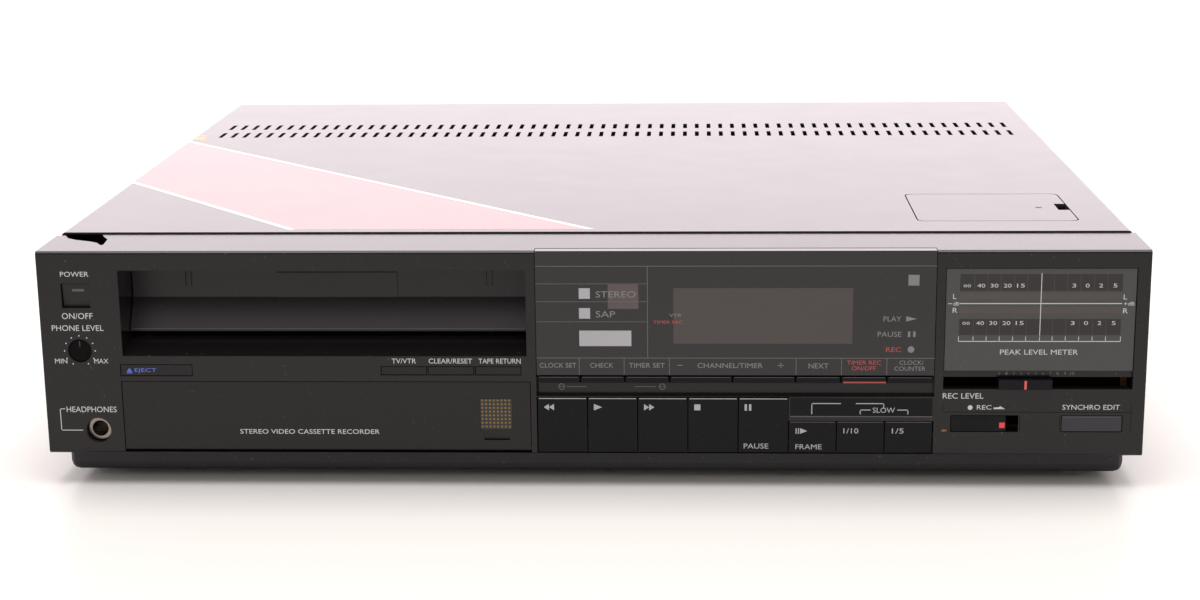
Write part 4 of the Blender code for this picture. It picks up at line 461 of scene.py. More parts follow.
# Lid and preset well
# A small painted lid hinged on its left edge, with a finger notch and a wear mark beside it.
# Under it a black moulded well holds the channel presets: a row of thumb wheels and a legend strip.
WHEEL_COUNT = 6
WHEEL_RADIUS = 4.2
WHEEL_WIDTH = 4.6
WHEEL_PITCH = 10.0
WHEEL_FIRST = 354.0
WHEEL_DEPTH = 82.0
WHEEL_TEETH = 20
WHEEL_COLOUR = (0.055, 0.055, 0.060)
STRIP_SPAN = (349.5, 394.0, 62.0, 69.0)
MARK_SPAN = (398.2, 400.8, 79.0, 81.0)

dress("preset_lid", cover_paint, edge=0.15)
well_plastic = finish("well_plastic", (0.012, 0.012, 0.014), 0.5, grain=0.6, dust=0.3)
dress("preset_well", well_plastic, edge=0.2)
well_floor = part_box("preset_well")[0].z + 0.0015


def add_wheel(mesh, x, radius, width, teeth, depth, height):
    """Toothed thumb wheel on a shaft that runs across."""
    rings = []
    for side in (-width / 2, width / 2):
        ring = []
        for index in range(2 * teeth):
            reach = radius if index % 2 else radius * 0.93
            angle = math.pi * index / teeth
            ring.append(mesh.verts.new((across(x + side),
                                        back_from_front(depth) + reach * MILLIMETRE * math.cos(angle),
                                        height + reach * MILLIMETRE * math.sin(angle))))
        rings.append(ring)
    mesh.faces.new(rings[0])
    mesh.faces.new(rings[1][::-1])
    for index in range(2 * teeth):
        ahead = (index + 1) % (2 * teeth)
        mesh.faces.new((rings[0][index], rings[1][index], rings[1][ahead], rings[0][ahead]))


wheels = bmesh.new()
for index in range(WHEEL_COUNT):
    add_wheel(wheels, WHEEL_FIRST + index * WHEEL_PITCH, WHEEL_RADIUS, WHEEL_WIDTH, WHEEL_TEETH,
              WHEEL_DEPTH, well_floor + (WHEEL_RADIUS + 0.2) * MILLIMETRE)
piece("preset_wheels", wheels, finish("wheel_plastic", WHEEL_COLOUR, 0.4, mottle=0.15))
strip = bmesh.new()
add_sheet(strip, ((STRIP_SPAN[0], STRIP_SPAN[2]), (STRIP_SPAN[1], STRIP_SPAN[2]),
                  (STRIP_SPAN[1], STRIP_SPAN[3]), (STRIP_SPAN[0], STRIP_SPAN[3])),
          well_floor - 0.0001, well_floor + 0.0003)
piece("preset_strip", strip, finish("strip_card", (0.42, 0.42, 0.40), 0.6, grain=0.7))
mark = bmesh.new()
add_sheet(mark, ((MARK_SPAN[0], MARK_SPAN[2]), (MARK_SPAN[1], MARK_SPAN[2]),
                 (MARK_SPAN[1], MARK_SPAN[3]), (MARK_SPAN[0], MARK_SPAN[3])),
          cover_top - LABEL_THICKNESS, cover_top + LABEL_THICKNESS / 2)
piece("lid_mark", mark, finish("mark_black", (0.010, 0.010, 0.010), 0.6), body="preset_lid")

# Power button, level knob and headphone socket
# The power button is a sloped black cap with a small moulded bar, the level knob a ribbed black cap
# with a pointer, and the socket a nickel-plated collar in a round hole.
KEY_COLOUR = (0.0030, 0.0030, 0.0045)
NICKEL_COLOUR = (0.27, 0.235, 0.205)
POWER_BAR = (13.4, 18.2, 15.0, 16.1)
KNOB_RIBS = 24
KNOB_RIB_RADIUS = 4.15
KNOB_POINTER = (14.75, 15.25, 36.0, 38.4)

key_black = finish("key_black", KEY_COLOUR, 0.30, specular=0.17, grain=0.5, grain_depth=0.015,
                   dust=0.06)
knob_black = finish("knob_black", (0.0025, 0.0025, 0.0030), 0.6, specular=0.08, grain=0.5)
nickel = finish("nickel", NICKEL_COLOUR, 0.22, metallic=1.0, grain=0.3, grain_depth=0.006)
dress("power_button", finish("power_cap", (0.012, 0.010, 0.011), 0.38, specular=0.3, dust=0.1),
      edge=0.2)
dress("phone_level_knob", knob_black, edge=0.3)
dress("headphone_jack", nickel, edge=0.35)
power_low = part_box("power_button")[0]
knob_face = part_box("phone_level_knob")[0].y
bar = bmesh.new()
add_block(bar, POWER_BAR, power_low.y + 0.0004, 0.0005)
piece("power_bar", bar, finish("power_bar", (0.075, 0.072, 0.075), 0.4), body="power_button",
      edge=0.08)
pointer = bmesh.new()
add_block(pointer, KNOB_POINTER, knob_face)
piece("knob_pointer", pointer, finish("pointer_grey", (0.022, 0.022, 0.023), 0.5),
      body="phone_level_knob")
ribs = bmesh.new()
for index in range(KNOB_RIBS):
    angle = math.tau * index / KNOB_RIBS
    add_dot(ribs, (KNOB_MIDDLE[0] + KNOB_RIB_RADIUS * math.cos(angle),
                   KNOB_MIDDLE[1] + KNOB_RIB_RADIUS * math.sin(angle)), 0.22, knob_face + 0.0012,
            0.0013, 8)
piece("knob_ribs", ribs, knob_black, body="phone_level_knob")

# Cassette flap and recess
# The flap is a satin moulding with a sloped lower half that ends in a lip with a painted highlight.
# Two pairs of upright ribs stand on its upper half. Behind it lies the dark tunnel.
FLAP_COLOUR = (0.0120, 0.0095, 0.0105)
FLAP_RIBS = (54.4, 174.6)
FLAP_RIB_WIDTH = 0.9
FLAP_RIB_HEIGHTS = (9.6, 18.4)
# Colour of the painted highlight along the flap's lip.
LIP_HIGHLIGHT_COLOUR = (0.085, 0.077, 0.078)
SIDE_RAILS = (37.2, 187.0)

flap_grey = finish("flap_grey", FLAP_COLOUR, 0.36, specular=0.4, grain=0.5, dust=0.12)
dress("cassette_flap", flap_grey, edge=0.15)
flap_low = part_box("cassette_flap")[0]
flap_lip = flap_low.y
flap_face = flap_lip + 0.0070
ribs = bmesh.new()
for middle in FLAP_RIBS:
    for side in (-1, 1):
        x = middle + side * 1.1
        add_block(ribs, (x - FLAP_RIB_WIDTH / 2, x + FLAP_RIB_WIDTH / 2, *FLAP_RIB_HEIGHTS),
                  flap_face, 0.0007)
piece("flap_ribs", ribs, flap_grey, body="cassette_flap", edge=0.1)
# A pale strip along the flap's lip is a painted highlight.
lip = bmesh.new()
lip_height = (bezel_top - flap_low.z) / MILLIMETRE
add_block(lip, (SIDE_RAILS[0] - 4.6, SIDE_RAILS[1] + 2.4, lip_height - 1.1, lip_height - 0.75),
          flap_lip, 0.00006)
piece("flap_lip_highlight", lip, finish("painted_lip_highlight", LIP_HIGHLIGHT_COLOUR, 0.4, grain=1.2, mottle=0.5),
      body="cassette_flap")

# Strip buttons
# Satin caps between the recess and the door, with the bezel's finish.
# The first carries the blue eject legend.
BLUE_INK = (0.085, 0.140, 0.560)
EJECT_WORD = (36.2, 44.8, 47.0, 49.0)
EJECT_ARROW = ((33.0, 48.4), (34.1, 46.9), (35.2, 48.4))
EJECT_BAR = (33.0, 35.2, 48.65, 49.05)

strip_grey = finish("strip_grey", (0.0065, 0.0058, 0.0065), 0.3, specular=0.32, dust=0.05)
for name in ("eject_button", "input_button", "clear_reset_button", "tape_return_button"):
    dress(name, strip_grey, edge=0.22)
strip_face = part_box("eject_button")[0].y
legend = bmesh.new()
add_words(legend, "EJECT", EJECT_WORD, strip_face)
add_shape(legend, EJECT_ARROW, strip_face)
add_block(legend, EJECT_BAR, strip_face)
piece("eject_legend", legend, finish("blue_ink", BLUE_INK, 0.5, mottle=0.05), body="eject_button")

# Control door and compartment
# A drop-down moulding over the lesser controls. A small square grid of gilt dots and a finger slot
# lie at its right end. Behind it are the tracking knob and the speed switch with their legends.
DOOR_COLOUR = (0.0075, 0.0060, 0.0065)
GILT_COLOUR = (0.21, 0.135, 0.045)
GRID_LEFT = 173.0
GRID_TOP = 60.0
GRID_PITCH = 1.52
GRID_ROWS = 8
GRID_COLUMNS = 8
GRID_DOT = 0.44
WINDOW_SPAN = (172.2, 184.6, 59.3, 71.9)
COMPARTMENT_WORDS = (("TRACKING", (151.0, 166.0, 56.4, 58.2)), ("SPEED", (57.0, 66.0, 58.6, 60.4)),
                     ("LP", (54.0, 57.0, 70.6, 72.4)), ("SP", (66.5, 69.5, 70.6, 72.4)))
KNOB_DEPTH = 0.0100
DOOR_TITLE = (76.8, 132.2, 71.9, 73.8)

door_grey = finish("door_grey", DOOR_COLOUR, 0.28, specular=0.32, grain=0.5, dust=0.07)
dress("control_door", door_grey, edge=0.22)
door_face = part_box("control_door")[0].y
window = bmesh.new()
add_block(window, WINDOW_SPAN, door_face + 0.0003, 0.0001)
piece("door_window", window, finish("window_brown", (0.013, 0.011, 0.010), 0.2, dust=0.1),
      body="control_door")
title = bmesh.new()
add_words(title, "STEREO VIDEO CASSETTE RECORDER", DOOR_TITLE, door_face)
piece("door_title", title, pale_ink, body="control_door")
grid = bmesh.new()
for row in range(GRID_ROWS):
    for column in range(GRID_COLUMNS):
        add_dot(grid, (GRID_LEFT + column * GRID_PITCH, GRID_TOP + row * GRID_PITCH), GRID_DOT,
                door_face + 0.0002, 0.00006, 8)
piece("door_dots", grid, finish("gilt", GILT_COLOUR, 0.35, metallic=0.6, mottle=0.3),
      body="control_door")

compartment_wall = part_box("tracking_knob")[0].y + KNOB_DEPTH
dress("tracking_knob", knob_black, edge=0.35)
dress("speed_switch", knob_black, edge=0.2)
legend = bmesh.new()
for text, span in COMPARTMENT_WORDS:
    add_words(legend, text, span, compartment_wall)
piece("compartment_legends", legend, pale_ink)
groove = bmesh.new()
knob_low, knob_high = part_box("tracking_knob")
knob_middle = ((knob_low.x + knob_high.x) / 2 - left_edge) / MILLIMETRE
add_block(groove, (knob_middle - 0.3, knob_middle + 0.3, 62.4, 66.0), knob_low.y)
piece("tracking_pointer", groove, pale_ink, body="tracking_knob")

# Centre panel
# A smoked acrylic plate whose top edge wraps over the moulding, silk screened on its face.
# The display and a small lighter window show through it.
SMOKE_COLOUR = (0.0085, 0.0075, 0.0080)
LINE_COLOUR = (0.130, 0.128, 0.130)
TEXT_COLOUR = (0.180, 0.176, 0.180)
WHITE_COLOUR = (0.36, 0.35, 0.37)
RED_COLOUR = (0.36, 0.050, 0.042)
DISPLAY_COLOUR = (0.046, 0.037, 0.035)
DISPLAY_SPAN = (248.0, 317.0, 14.7, 36.8)
PANEL_LINES = (
    (194.8, 348.8, 5.9, 6.1), (194.8, 238.0, 12.9, 13.05), (194.8, 238.0, 20.0, 20.15),
    (194.8, 238.0, 28.0, 28.15), (237.9, 238.1, 6.1, 42.5), (194.8, 348.8, 42.5, 42.7),
    (211.2, 211.4, 42.7, 49.3), (228.7, 228.9, 42.7, 49.3), (246.3, 246.5, 42.7, 49.3),
    (295.4, 295.6, 42.7, 49.3), (312.9, 313.1, 42.7, 49.3), (330.4, 330.6, 42.7, 49.3),
)
PANEL_WORDS = (
    ("STEREO", (218.0, 233.5, 15.9, 18.4)), ("SAP", (218.0, 225.5, 23.8, 26.3)),
    ("VTR", (246.4, 251.2, 24.9, 26.1)), ("PLAY", (328.8, 335.6, 25.9, 27.9)),
    ("PAUSE", (326.7, 335.8, 32.0, 34.0)), ("CLOCK SET", (195.9, 210.2, 44.6, 46.5)),
    ("CHECK", (215.6, 224.6, 44.6, 46.5)), ("TIMER SET", (230.7, 244.6, 44.6, 46.5)),
    ("CHANNEL/TIMER", (257.3, 282.6, 44.6, 46.6)), ("NEXT", (300.3, 308.0, 44.7, 46.7)),
    ("CLOCK/", (335.3, 344.6, 43.5, 45.2)), ("COUNTER", (333.4, 345.4, 45.9, 47.6)),
)
PANEL_RED_WORDS = (
    ("TIMER REC", (240.2, 251.6, 27.6, 28.8)), ("REC", (330.0, 335.8, 38.2, 40.1)),
    ("TIMER REC", (315.1, 328.2, 43.5, 45.2)), ("ON/OFF", (317.0, 326.3, 45.8, 47.5)),
)
SENSOR_SPAN = (222.7, 234.5, 13.2, 22.9)
PANEL_WHITE = ((211.5, 215.8, 14.7, 18.9), (211.5, 215.8, 22.6, 26.8), (211.5, 231.7, 31.6, 37.8))
REMOTE_MARK = (338.0, 342.2, 9.5, 13.7)
PLAY_MARK = ((337.5, 25.9), (341.6, 26.9), (337.5, 27.9))
MINUS_MARK = (249.5, 251.5, 45.4, 45.65)
PLUS_MARK = ((288.5, 290.7, 45.4, 45.65), (289.48, 289.73, 44.4, 46.6))
RECORD_DOT = (339.6, 39.1)

smoke = finish("smoked_acrylic", SMOKE_COLOUR, 0.14, specular=0.5, grain=2.0, grain_depth=0.003,
               mottle=0.05, dust=0.05)
dress("centre_panel", smoke, edge=0.25)
panel_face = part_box("centre_panel")[0].y
dim_ink = finish("dim_ink", LINE_COLOUR, 0.5, mottle=0.05)
grey_ink = finish("grey_ink", TEXT_COLOUR, 0.5, mottle=0.05)
white_ink = finish("white_ink", WHITE_COLOUR, 0.5, mottle=0.04)
red_ink = finish("red_ink", RED_COLOUR, 0.5, mottle=0.05)
lines = bmesh.new()
for span in PANEL_LINES:
    add_block(lines, span, panel_face)
piece("panel_lines", lines, dim_ink)
words = bmesh.new()
for text, span in PANEL_WORDS:
    add_words(words, text, span, panel_face)
add_shape(words, PLAY_MARK, panel_face)
for x in (338.3, 340.3):
    add_block(words, (x, x + 0.9, 31.9, 34.1), panel_face)
add_dot(words, RECORD_DOT, 1.3, panel_face)
for span in (REMOTE_MARK, MINUS_MARK, *PLUS_MARK):
    add_block(words, span, panel_face)
piece("panel_words", words, grey_ink)
words = bmesh.new()
for text, span in PANEL_RED_WORDS:
    add_words(words, text, span, panel_face)
piece("panel_red_words", words, red_ink)
squares = bmesh.new()
for span in PANEL_WHITE:
    add_block(squares, span, panel_face)
piece("panel_squares", squares, white_ink)
window = bmesh.new()
add_block(window, SENSOR_SPAN, panel_face, PRINT_THICKNESS / 3)
piece("panel_sensor", window, finish("sensor_window", (0.075, 0.055, 0.056), 0.16, mottle=0.05))
window = bmesh.new()
add_block(window, DISPLAY_SPAN, panel_face, PRINT_THICKNESS / 3)
piece("display_window", window, finish("display_grey", DISPLAY_COLOUR, 0.16, specular=0.5,
                                       grain=1.2, grain_depth=0.002, mottle=0.10))
glass = finish("tube_glass", (0.10, 0.10, 0.095), 0.12, specular=0.6, grain=2.0,
               grain_depth=0.002)
dress("display_tube", glass, edge=0.3)

# Small buttons under the panel
# Eight black caps, each with a faint painted highlight along its top edge. The timer record cap has a
# red stripe.
# The ledge below them carries two round symbols, each with a line toward the middle.
# Colour of the painted highlight along the top edges of the small caps, the slow keys, the slow plate
# and the edit button.
EDGE_HIGHLIGHT_COLOUR = (0.075, 0.070, 0.075)
SMALL_EDGE = (50.62, 50.85)
RED_STRIPE = (313.9, 330.4, 52.35, 53.0)
PANEL_DEPTH = 0.0029
SYMBOL_RADIUS = 1.25
STRIP_SYMBOLS = ((204.2, 55.0), (243.6, 55.0))
STRIP_LINES = ((206.2, 214.0, 54.92, 55.08), (232.6, 241.2, 54.92, 55.08))

small_names = ("clock_set_button", "check_button", "timer_set_button", "channel_down_button",
               "channel_up_button", "next_button", "timer_record_button", "counter_button")
edge_highlight = finish("edge_highlight", EDGE_HIGHLIGHT_COLOUR, 0.35, specular=0.5, mottle=0.35)


def span_of(name):
    """Left, right, top and bottom of a CAD node on the front in millimetres, and its face."""
    low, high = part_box(name)
    return ((low.x - left_edge) / MILLIMETRE, (high.x - left_edge) / MILLIMETRE,
            (bezel_top - high.z) / MILLIMETRE, (bezel_top - low.z) / MILLIMETRE, low.y)


for name in small_names:
    dress(name, key_black, edge=0.18)
    x_low, x_high, _, _, face = span_of(name)
    # A pale strip along each cap's top edge is a painted highlight.
    highlight_strip = bmesh.new()
    add_block(highlight_strip, (x_low + 0.5, x_high - 0.5, *SMALL_EDGE), face, 0.00004)
    piece(f"{name}_edge", highlight_strip, edge_highlight, body=name)
small_face = span_of("timer_record_button")[4]
stripe = bmesh.new()
add_block(stripe, RED_STRIPE, small_face)
piece("timer_record_stripe", stripe, red_ink, body="timer_record_button")
ledge_face = bezel_front + PANEL_DEPTH


def add_ring(mesh, middle, radius, width, face, facets=20):
    """Thin printed ring on the front, sizes in millimetres."""
    loops = []
    for reach in (radius, radius - width):
        for depth in (face - PRINT_THICKNESS, face):
            loops.append([mesh.verts.new((across(middle[0] + reach * math.cos(math.tau * i / facets)),
                                          depth,
                                          down(middle[1] + reach * math.sin(math.tau * i / facets))))
                          for i in range(facets)])
    order = (0, 1, 3, 2)
    for start, end in zip(order, order[1:] + order[:1]):
        for i in range(facets):
            ahead = (i + 1) % facets
            mesh.faces.new((loops[start][i], loops[start][ahead], loops[end][ahead], loops[end][i]))


symbols = bmesh.new()
for middle in STRIP_SYMBOLS:
    add_ring(symbols, middle, SYMBOL_RADIUS, 0.25, ledge_face)
    add_block(symbols, (middle[0] - 0.8, middle[0] + 0.8, middle[1] - 0.1, middle[1] + 0.1),
              ledge_face)
for span in STRIP_LINES:
    add_block(symbols, span, ledge_face)
piece("ledge_symbols", symbols, grey_ink)

# Transport and slow keys
# Tall black caps side by side, each with a bright painted highlight along its top edge and its printed
# symbol.
# A plate over the three slow keys carries bracket lines and the word SLOW.
KEY_EDGE = (58.95, 58.95 + 0.30)
SLOW_EDGE = (68.4, 68.62)
FRAME_BARS = ((295.6, 296.0, 71.0, 73.3), (296.5, 296.9, 71.0, 73.3))
# Colour of the painted highlight along the transport keys' top edges.
KEY_HIGHLIGHT_COLOUR = (0.38, 0.37, 0.38)
SYMBOL_TOP = 61.3
SYMBOL_BOTTOM = 63.9
PLATE_BRACKETS = (
    (301.6, 301.95, 60.7, 65.2), (301.6, 313.0, 60.7, 61.05), (318.8, 329.8, 60.7, 61.05),
    (329.45, 329.8, 60.7, 63.0), (320.4, 320.75, 63.3, 65.2), (320.4, 324.6, 63.3, 63.65),
    (334.9, 339.2, 63.3, 63.65), (338.85, 339.2, 63.3, 65.2),
)
PLATE_SPAN = (293.4, 348.5, 58.7, 65.9)
PLATE_STRIP = (293.4, 348.5, 66.0, 66.35)


def triangle(x, width, pointing):
    """Arrowhead that points left or right, from its left edge."""
    middle = (SYMBOL_TOP + SYMBOL_BOTTOM) / 2
    if pointing == "left":
        return ((x + width, SYMBOL_TOP), (x + width, SYMBOL_BOTTOM), (x, middle))
    return ((x, SYMBOL_TOP), (x, SYMBOL_BOTTOM), (x + width, middle))


def key_symbols(mesh, name, x, face):
    """Symbol printed near the top left corner of a transport key."""
    if name == "rewind_key":
        add_shape(mesh, triangle(x, 2.0, "left"), face)
        add_shape(mesh, triangle(x + 2.0, 2.0, "left"), face)
    elif name == "play_key":
        add_shape(mesh, triangle(x, 3.2, "right"), face)
    elif name == "forward_key":
        add_shape(mesh, triangle(x, 2.0, "right"), face)
        add_shape(mesh, triangle(x + 2.0, 2.0, "right"), face)
    elif name == "stop_key":
        add_block(mesh, (x, x + 2.4, SYMBOL_TOP + 0.1, SYMBOL_BOTTOM - 0.1), face)
    else:
        add_block(mesh, (x, x + 0.9, SYMBOL_TOP, SYMBOL_BOTTOM), face)
        add_block(mesh, (x + 1.7, x + 2.6, SYMBOL_TOP, SYMBOL_BOTTOM), face)


key_highlight = finish("key_highlight", KEY_HIGHLIGHT_COLOUR, 0.4, mottle=0.3)
for name in ("rewind_key", "play_key", "forward_key", "stop_key", "pause_key"):
    dress(name, key_black, edge=0.3)
    x_low, x_high, _, _, face = span_of(name)
    legend = bmesh.new()
    key_symbols(legend, name, x_low + 2.3, face)
    if name == "pause_key":
        add_words(legend, "PAUSE", (275.4, 285.0, 77.3, 79.4), face)
    piece(f"{name}_legend", legend, white_ink, body=name)
    # A pale strip along each key's top edge is a painted highlight.
    highlight_strip = bmesh.new()
    add_block(highlight_strip, (x_low + 0.4, x_high - 0.4, *KEY_EDGE), face, 0.00005)
    piece(f"{name}_edge", highlight_strip, key_highlight, body=name)
for name in ("frame_key", "slow_tenth_key", "slow_fifth_key"):
    dress(name, key_black, edge=0.3)
    x_low, x_high, _, _, face = span_of(name)
    legend = bmesh.new()
    if name == "frame_key":
        for span in FRAME_BARS:
            add_block(legend, span, face)
        add_shape(legend, ((297.3, 71.0), (300.1, 72.15), (297.3, 73.3)), face)
        add_words(legend, "FRAME", (295.6, 305.8, 77.6, 79.6), face)
    elif name == "slow_tenth_key":
        add_words(legend, "1/10", (314.2, 320.0, 71.0, 73.1), face)
    else:
        add_words(legend, "1/5", (333.0, 337.6, 71.0, 73.1), face)
    piece(f"{name}_legend", legend, white_ink, body=name)
    # A pale strip along each slow key's top edge is a painted highlight.
    highlight_strip = bmesh.new()
    add_block(highlight_strip, (x_low + 0.4, x_high - 0.4, *SLOW_EDGE), face, 0.00004)
    piece(f"{name}_edge", highlight_strip, edge_highlight, body=name)
plate = bmesh.new()
add_block(plate, PLATE_SPAN, bezel_front + 0.00001, 0.00003)
piece("slow_plate", plate, key_black)
# A pale strip along the plate's lower edge is a painted highlight.
plate = bmesh.new()
add_block(plate, PLATE_STRIP, bezel_front + 0.00001, 0.00006)
piece("slow_plate_edge", plate, edge_highlight)
words = bmesh.new()
for span in PLATE_BRACKETS:
    add_block(words, span, bezel_front - 0.00002)
add_words(words, "SLOW", (325.4, 334.0, 62.5, 64.6), bezel_front - 0.00002)
piece("slow_words", words, white_ink)

# Level meter and recording slider
# A grey tinted window with a printed decibel scale over two pale bars, then a dark step with its own
# scale and the slot of the slider. The slider is a ribbed cap with a red line.
METER_COLOUR = (0.040, 0.040, 0.040)
SCALE_COLOUR = (0.0085, 0.0065, 0.0062)
BAR_COLOUR = (0.055, 0.046, 0.042)
SCALE_EDGES = (357.7, 363.3, 368.3, 373.3, 378.4, 383.4, 388.7, 393.5, 398.5, 403.6, 408.7, 413.8,
               419.5)
SCALE_NUMBERS = (("40", 1), ("30", 2), ("20", 3), ("15", 4), ("3", 8), ("0", 9), ("2", 10),
                 ("5", 11))
NUMBER_ROWS = ((13.1, 14.6), (27.9, 29.4))
SCALE_ROWS = ((9.3, 16.0), (27.0, 33.4))
BAR_ROWS = ((16.9, 19.3), (22.3, 24.8))
METER_LETTERS = (("L", (355.2, 356.5, 17.1, 19.1)), ("R", (355.2, 357.0, 22.6, 24.6)),
                 ("L", (420.0, 421.3, 17.3, 19.3)), ("R", (420.0, 421.8, 22.8, 24.8)),
                 ("dB", (421.7, 424.2, 20.3, 21.7)), ("dB", (355.3, 357.5, 20.3, 21.7)),
                 ("+", (420.2, 421.4, 20.4, 21.6)), ("PEAK LEVEL METER", (373.8, 403.6, 39.2, 41.2)))
STEP_DEPTH = 0.0018
STEP_FIRST = 374.0
STEP_PITCH = 2.8
STEP_HALF = 0.42
STEP_ROWS = (48.5, 49.7)
SHADE_SPAN = (351.0, 423.0, 46.0, 73.5)

meter_glass = finish("meter_glass", METER_COLOUR, 0.13, specular=0.5, grain=2.5,
                     grain_depth=0.002, mottle=0.05, dust=0.06)
dress("meter_window", meter_glass, edge=0.2)
meter_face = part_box("meter_window")[0].y
segments = bmesh.new()
for top, bottom in SCALE_ROWS:
    for start, end in zip(SCALE_EDGES, SCALE_EDGES[1:]):
        add_block(segments, (start + 0.1, end - 0.1, top, bottom), meter_face, 0.00002)
piece("meter_segments", segments, finish("scale_dark", SCALE_COLOUR, 0.16, mottle=0.06))
bars = bmesh.new()
for top, bottom in BAR_ROWS:
    add_block(bars, (SCALE_EDGES[0], SCALE_EDGES[-1], top, bottom), meter_face, 0.00002)
piece("meter_bars", bars, finish("bar_pale", BAR_COLOUR, 0.2, mottle=0.12))
scale = bmesh.new()
for row, (top, bottom) in enumerate(NUMBER_ROWS):
    for text, column in SCALE_NUMBERS:
        middle = (SCALE_EDGES[column] + SCALE_EDGES[column + 1]) / 2
        half = 0.75 * len(text)
        add_words(scale, text, (middle - half, middle + half, top, bottom), meter_face - 0.00001)
    middle = (SCALE_EDGES[0] + SCALE_EDGES[1]) / 2
    add_words(scale, "oo", (middle - 1.4, middle + 1.4, top + 0.3, bottom - 0.1),
              meter_face - 0.00001)
add_block(scale, (353.4, 354.9, 20.85, 21.1), meter_face)
add_block(scale, (SCALE_EDGES[0], SCALE_EDGES[-1], 20.75, 21.1), meter_face)
add_block(scale, (388.55, 388.85, 9.0, 33.6), meter_face - 0.00001)
for edge in SCALE_EDGES:
    add_block(scale, (edge - 0.12, edge + 0.12, 34.0, 36.0), meter_face)
add_block(scale, (357.6, 419.6, 35.8, 36.1), meter_face)
for text, span in METER_LETTERS:
    add_words(scale, text, span, meter_face)
piece("meter_scale", scale, finish("meter_ink", (0.48, 0.48, 0.46), 0.5, mottle=0.04))

step_scale = bmesh.new()
for number in range(11):
    middle = STEP_FIRST + number * STEP_PITCH
    half = STEP_HALF * len(str(number))
    add_words(step_scale, str(number), (middle - half, middle + half, *STEP_ROWS), bezel_front
              + STEP_DEPTH)
piece("slider_scale", step_scale, dim_ink)
# A black sheet on the front board behind the slider's slot and the record key's gap is painted shade
# seen through these openings.
shade = bmesh.new()
add_block(shade, SHADE_SPAN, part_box("front_board")[0].y, PRINT_THICKNESS)
piece("slot_shade", shade, knob_black)
slider_left, slider_right, _, _, slider_face = span_of("rec_level_slider")
dress("rec_level_slider", key_black, edge=0.3)
ribs = bmesh.new()
for side in (-1, 1):
    for step in range(4):
        x = (slider_left + slider_right) / 2 + side * (1.6 + step * 1.1)
        add_block(ribs, (x - 0.25, x + 0.25, 51.2, 54.4), slider_face + 0.00025, 0.0003)
piece("slider_ribs", ribs, key_black, body="rec_level_slider", edge=0.08)
mark = bmesh.new()
middle = (slider_left + slider_right) / 2
add_block(mark, (middle - 0.45, middle + 0.45, 51.1, 54.5), slider_face + 0.00025, 0.0003)
piece("slider_mark", mark, finish("slider_red", (0.62, 0.08, 0.07), 0.4, mottle=0.1),
      body="rec_level_slider")

# Record key and edit button
# The record key slides to the right. It has a ribbed grip and a red lamp in its end.
# The blank plate beside it is part of the bezel, and the edit button is a plain cap with a painted
# highlight along its top edge.
LAMP_SPAN = (374.4, 376.6, 68.5, 70.7)
GRIP_FIRST = 359.4
GRIP_PITCH = 1.15
GRIP_COUNT = 10
GRIP_ROWS = (66.3, 71.8)
EDIT_EDGE = (399.0, 421.0, 66.1, 66.35)

dress("record_key", key_black, edge=0.25)
dress("edit_button", finish("edit_cap", (0.0185, 0.0185, 0.0235), 0.33, specular=0.45, dust=0.12),
      edge=0.3)
record_face = span_of("record_key")[4]
grip = bmesh.new()
for index in range(GRIP_COUNT):
    x = GRIP_FIRST + index * GRIP_PITCH
    add_block(grip, (x, x + 0.5, *GRIP_ROWS), record_face + 0.00012, 0.00025)
piece("record_grip", grip, key_black, body="record_key", edge=0.06)
lamp = bmesh.new()
add_block(lamp, LAMP_SPAN, record_face + 0.0001, 0.0003)
piece("record_lamp", lamp, finish("lamp_red", (0.72, 0.035, 0.035), 0.25, specular=0.6,
                                  mottle=0.2), body="record_key", edge=0.1)
# A pale strip along the edit button's top edge is a painted highlight.
highlight_strip = bmesh.new()
add_block(highlight_strip, EDIT_EDGE, span_of("edit_button")[4], 0.00004)
piece("edit_button_edge", highlight_strip, edge_highlight, body="edit_button")

# Boards and rear
# The boards are brown phenolic laminate. The rear panel is painted sheet, held by six cross-headed
# screws, and carries the tuner's sockets, the phono sockets and a rubber gland for the lead.
LAMINATE_COLOUR = (0.155, 0.085, 0.030)
SCREW_COLOUR = (0.30, 0.30, 0.31)
PANEL_SCREWS = ((18.0, 14.0), (214.0, 14.0), (412.0, 14.0), (18.0, 74.0), (214.0, 74.0),
                (412.0, 74.0))
SCREW_RADIUS = 3.0
SCREW_HEIGHT = 0.0011
SLOT_LENGTH = 0.0034
SLOT_WIDTH = 0.0007
SLOT_THICKNESS = 0.00008

laminate = finish("laminate", LAMINATE_COLOUR, 0.5, grain=1.4, mottle=0.25, dust=0.1)
for name in ("front_board", "left_board", "main_board"):
    dress(name, laminate, edge=0.1)
sheet_steel = finish("sheet_steel", (0.46, 0.455, 0.44), 0.32, metallic=1.0, grain=0.5,
                     grain_depth=0.01, mottle=0.12, brushed=8.0)
tinned_steel = finish("tinned_steel", (0.52, 0.52, 0.50), 0.28, metallic=1.0, grain=3.0,
                      grain_depth=0.01, mottle=0.2)
rear_paint = finish("rear_paint", (0.014, 0.013, 0.014), 0.42, specular=0.45, grain=0.4,
                    dust=0.12)
dress("rear_panel", rear_paint, edge=0.15)
dress("tuner", tinned_steel, edge=0.25)
dress("phono_sockets", well_plastic, edge=0.15)
dress("lead_gland", foot_rubber, edge=0.3)
rear_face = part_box("rear_panel")[1].y


def add_rear_disc(mesh, x, z, radius, start, end, facets=24):
    """Disc on the rear panel: its radius in millimetres, its places in metres."""
    near_ring, far_ring = ([mesh.verts.new((x + radius * MILLIMETRE * math.cos(math.tau * i / facets),
                                            depth,
                                            z + radius * MILLIMETRE * math.sin(math.tau * i / facets)))
                            for i in range(facets)] for depth in (start, end))
    for i in range(facets):
        ahead = (i + 1) % facets
        mesh.faces.new((near_ring[i], near_ring[ahead], far_ring[ahead], far_ring[i]))
    mesh.faces.new(near_ring)
    mesh.faces.new(far_ring[::-1])


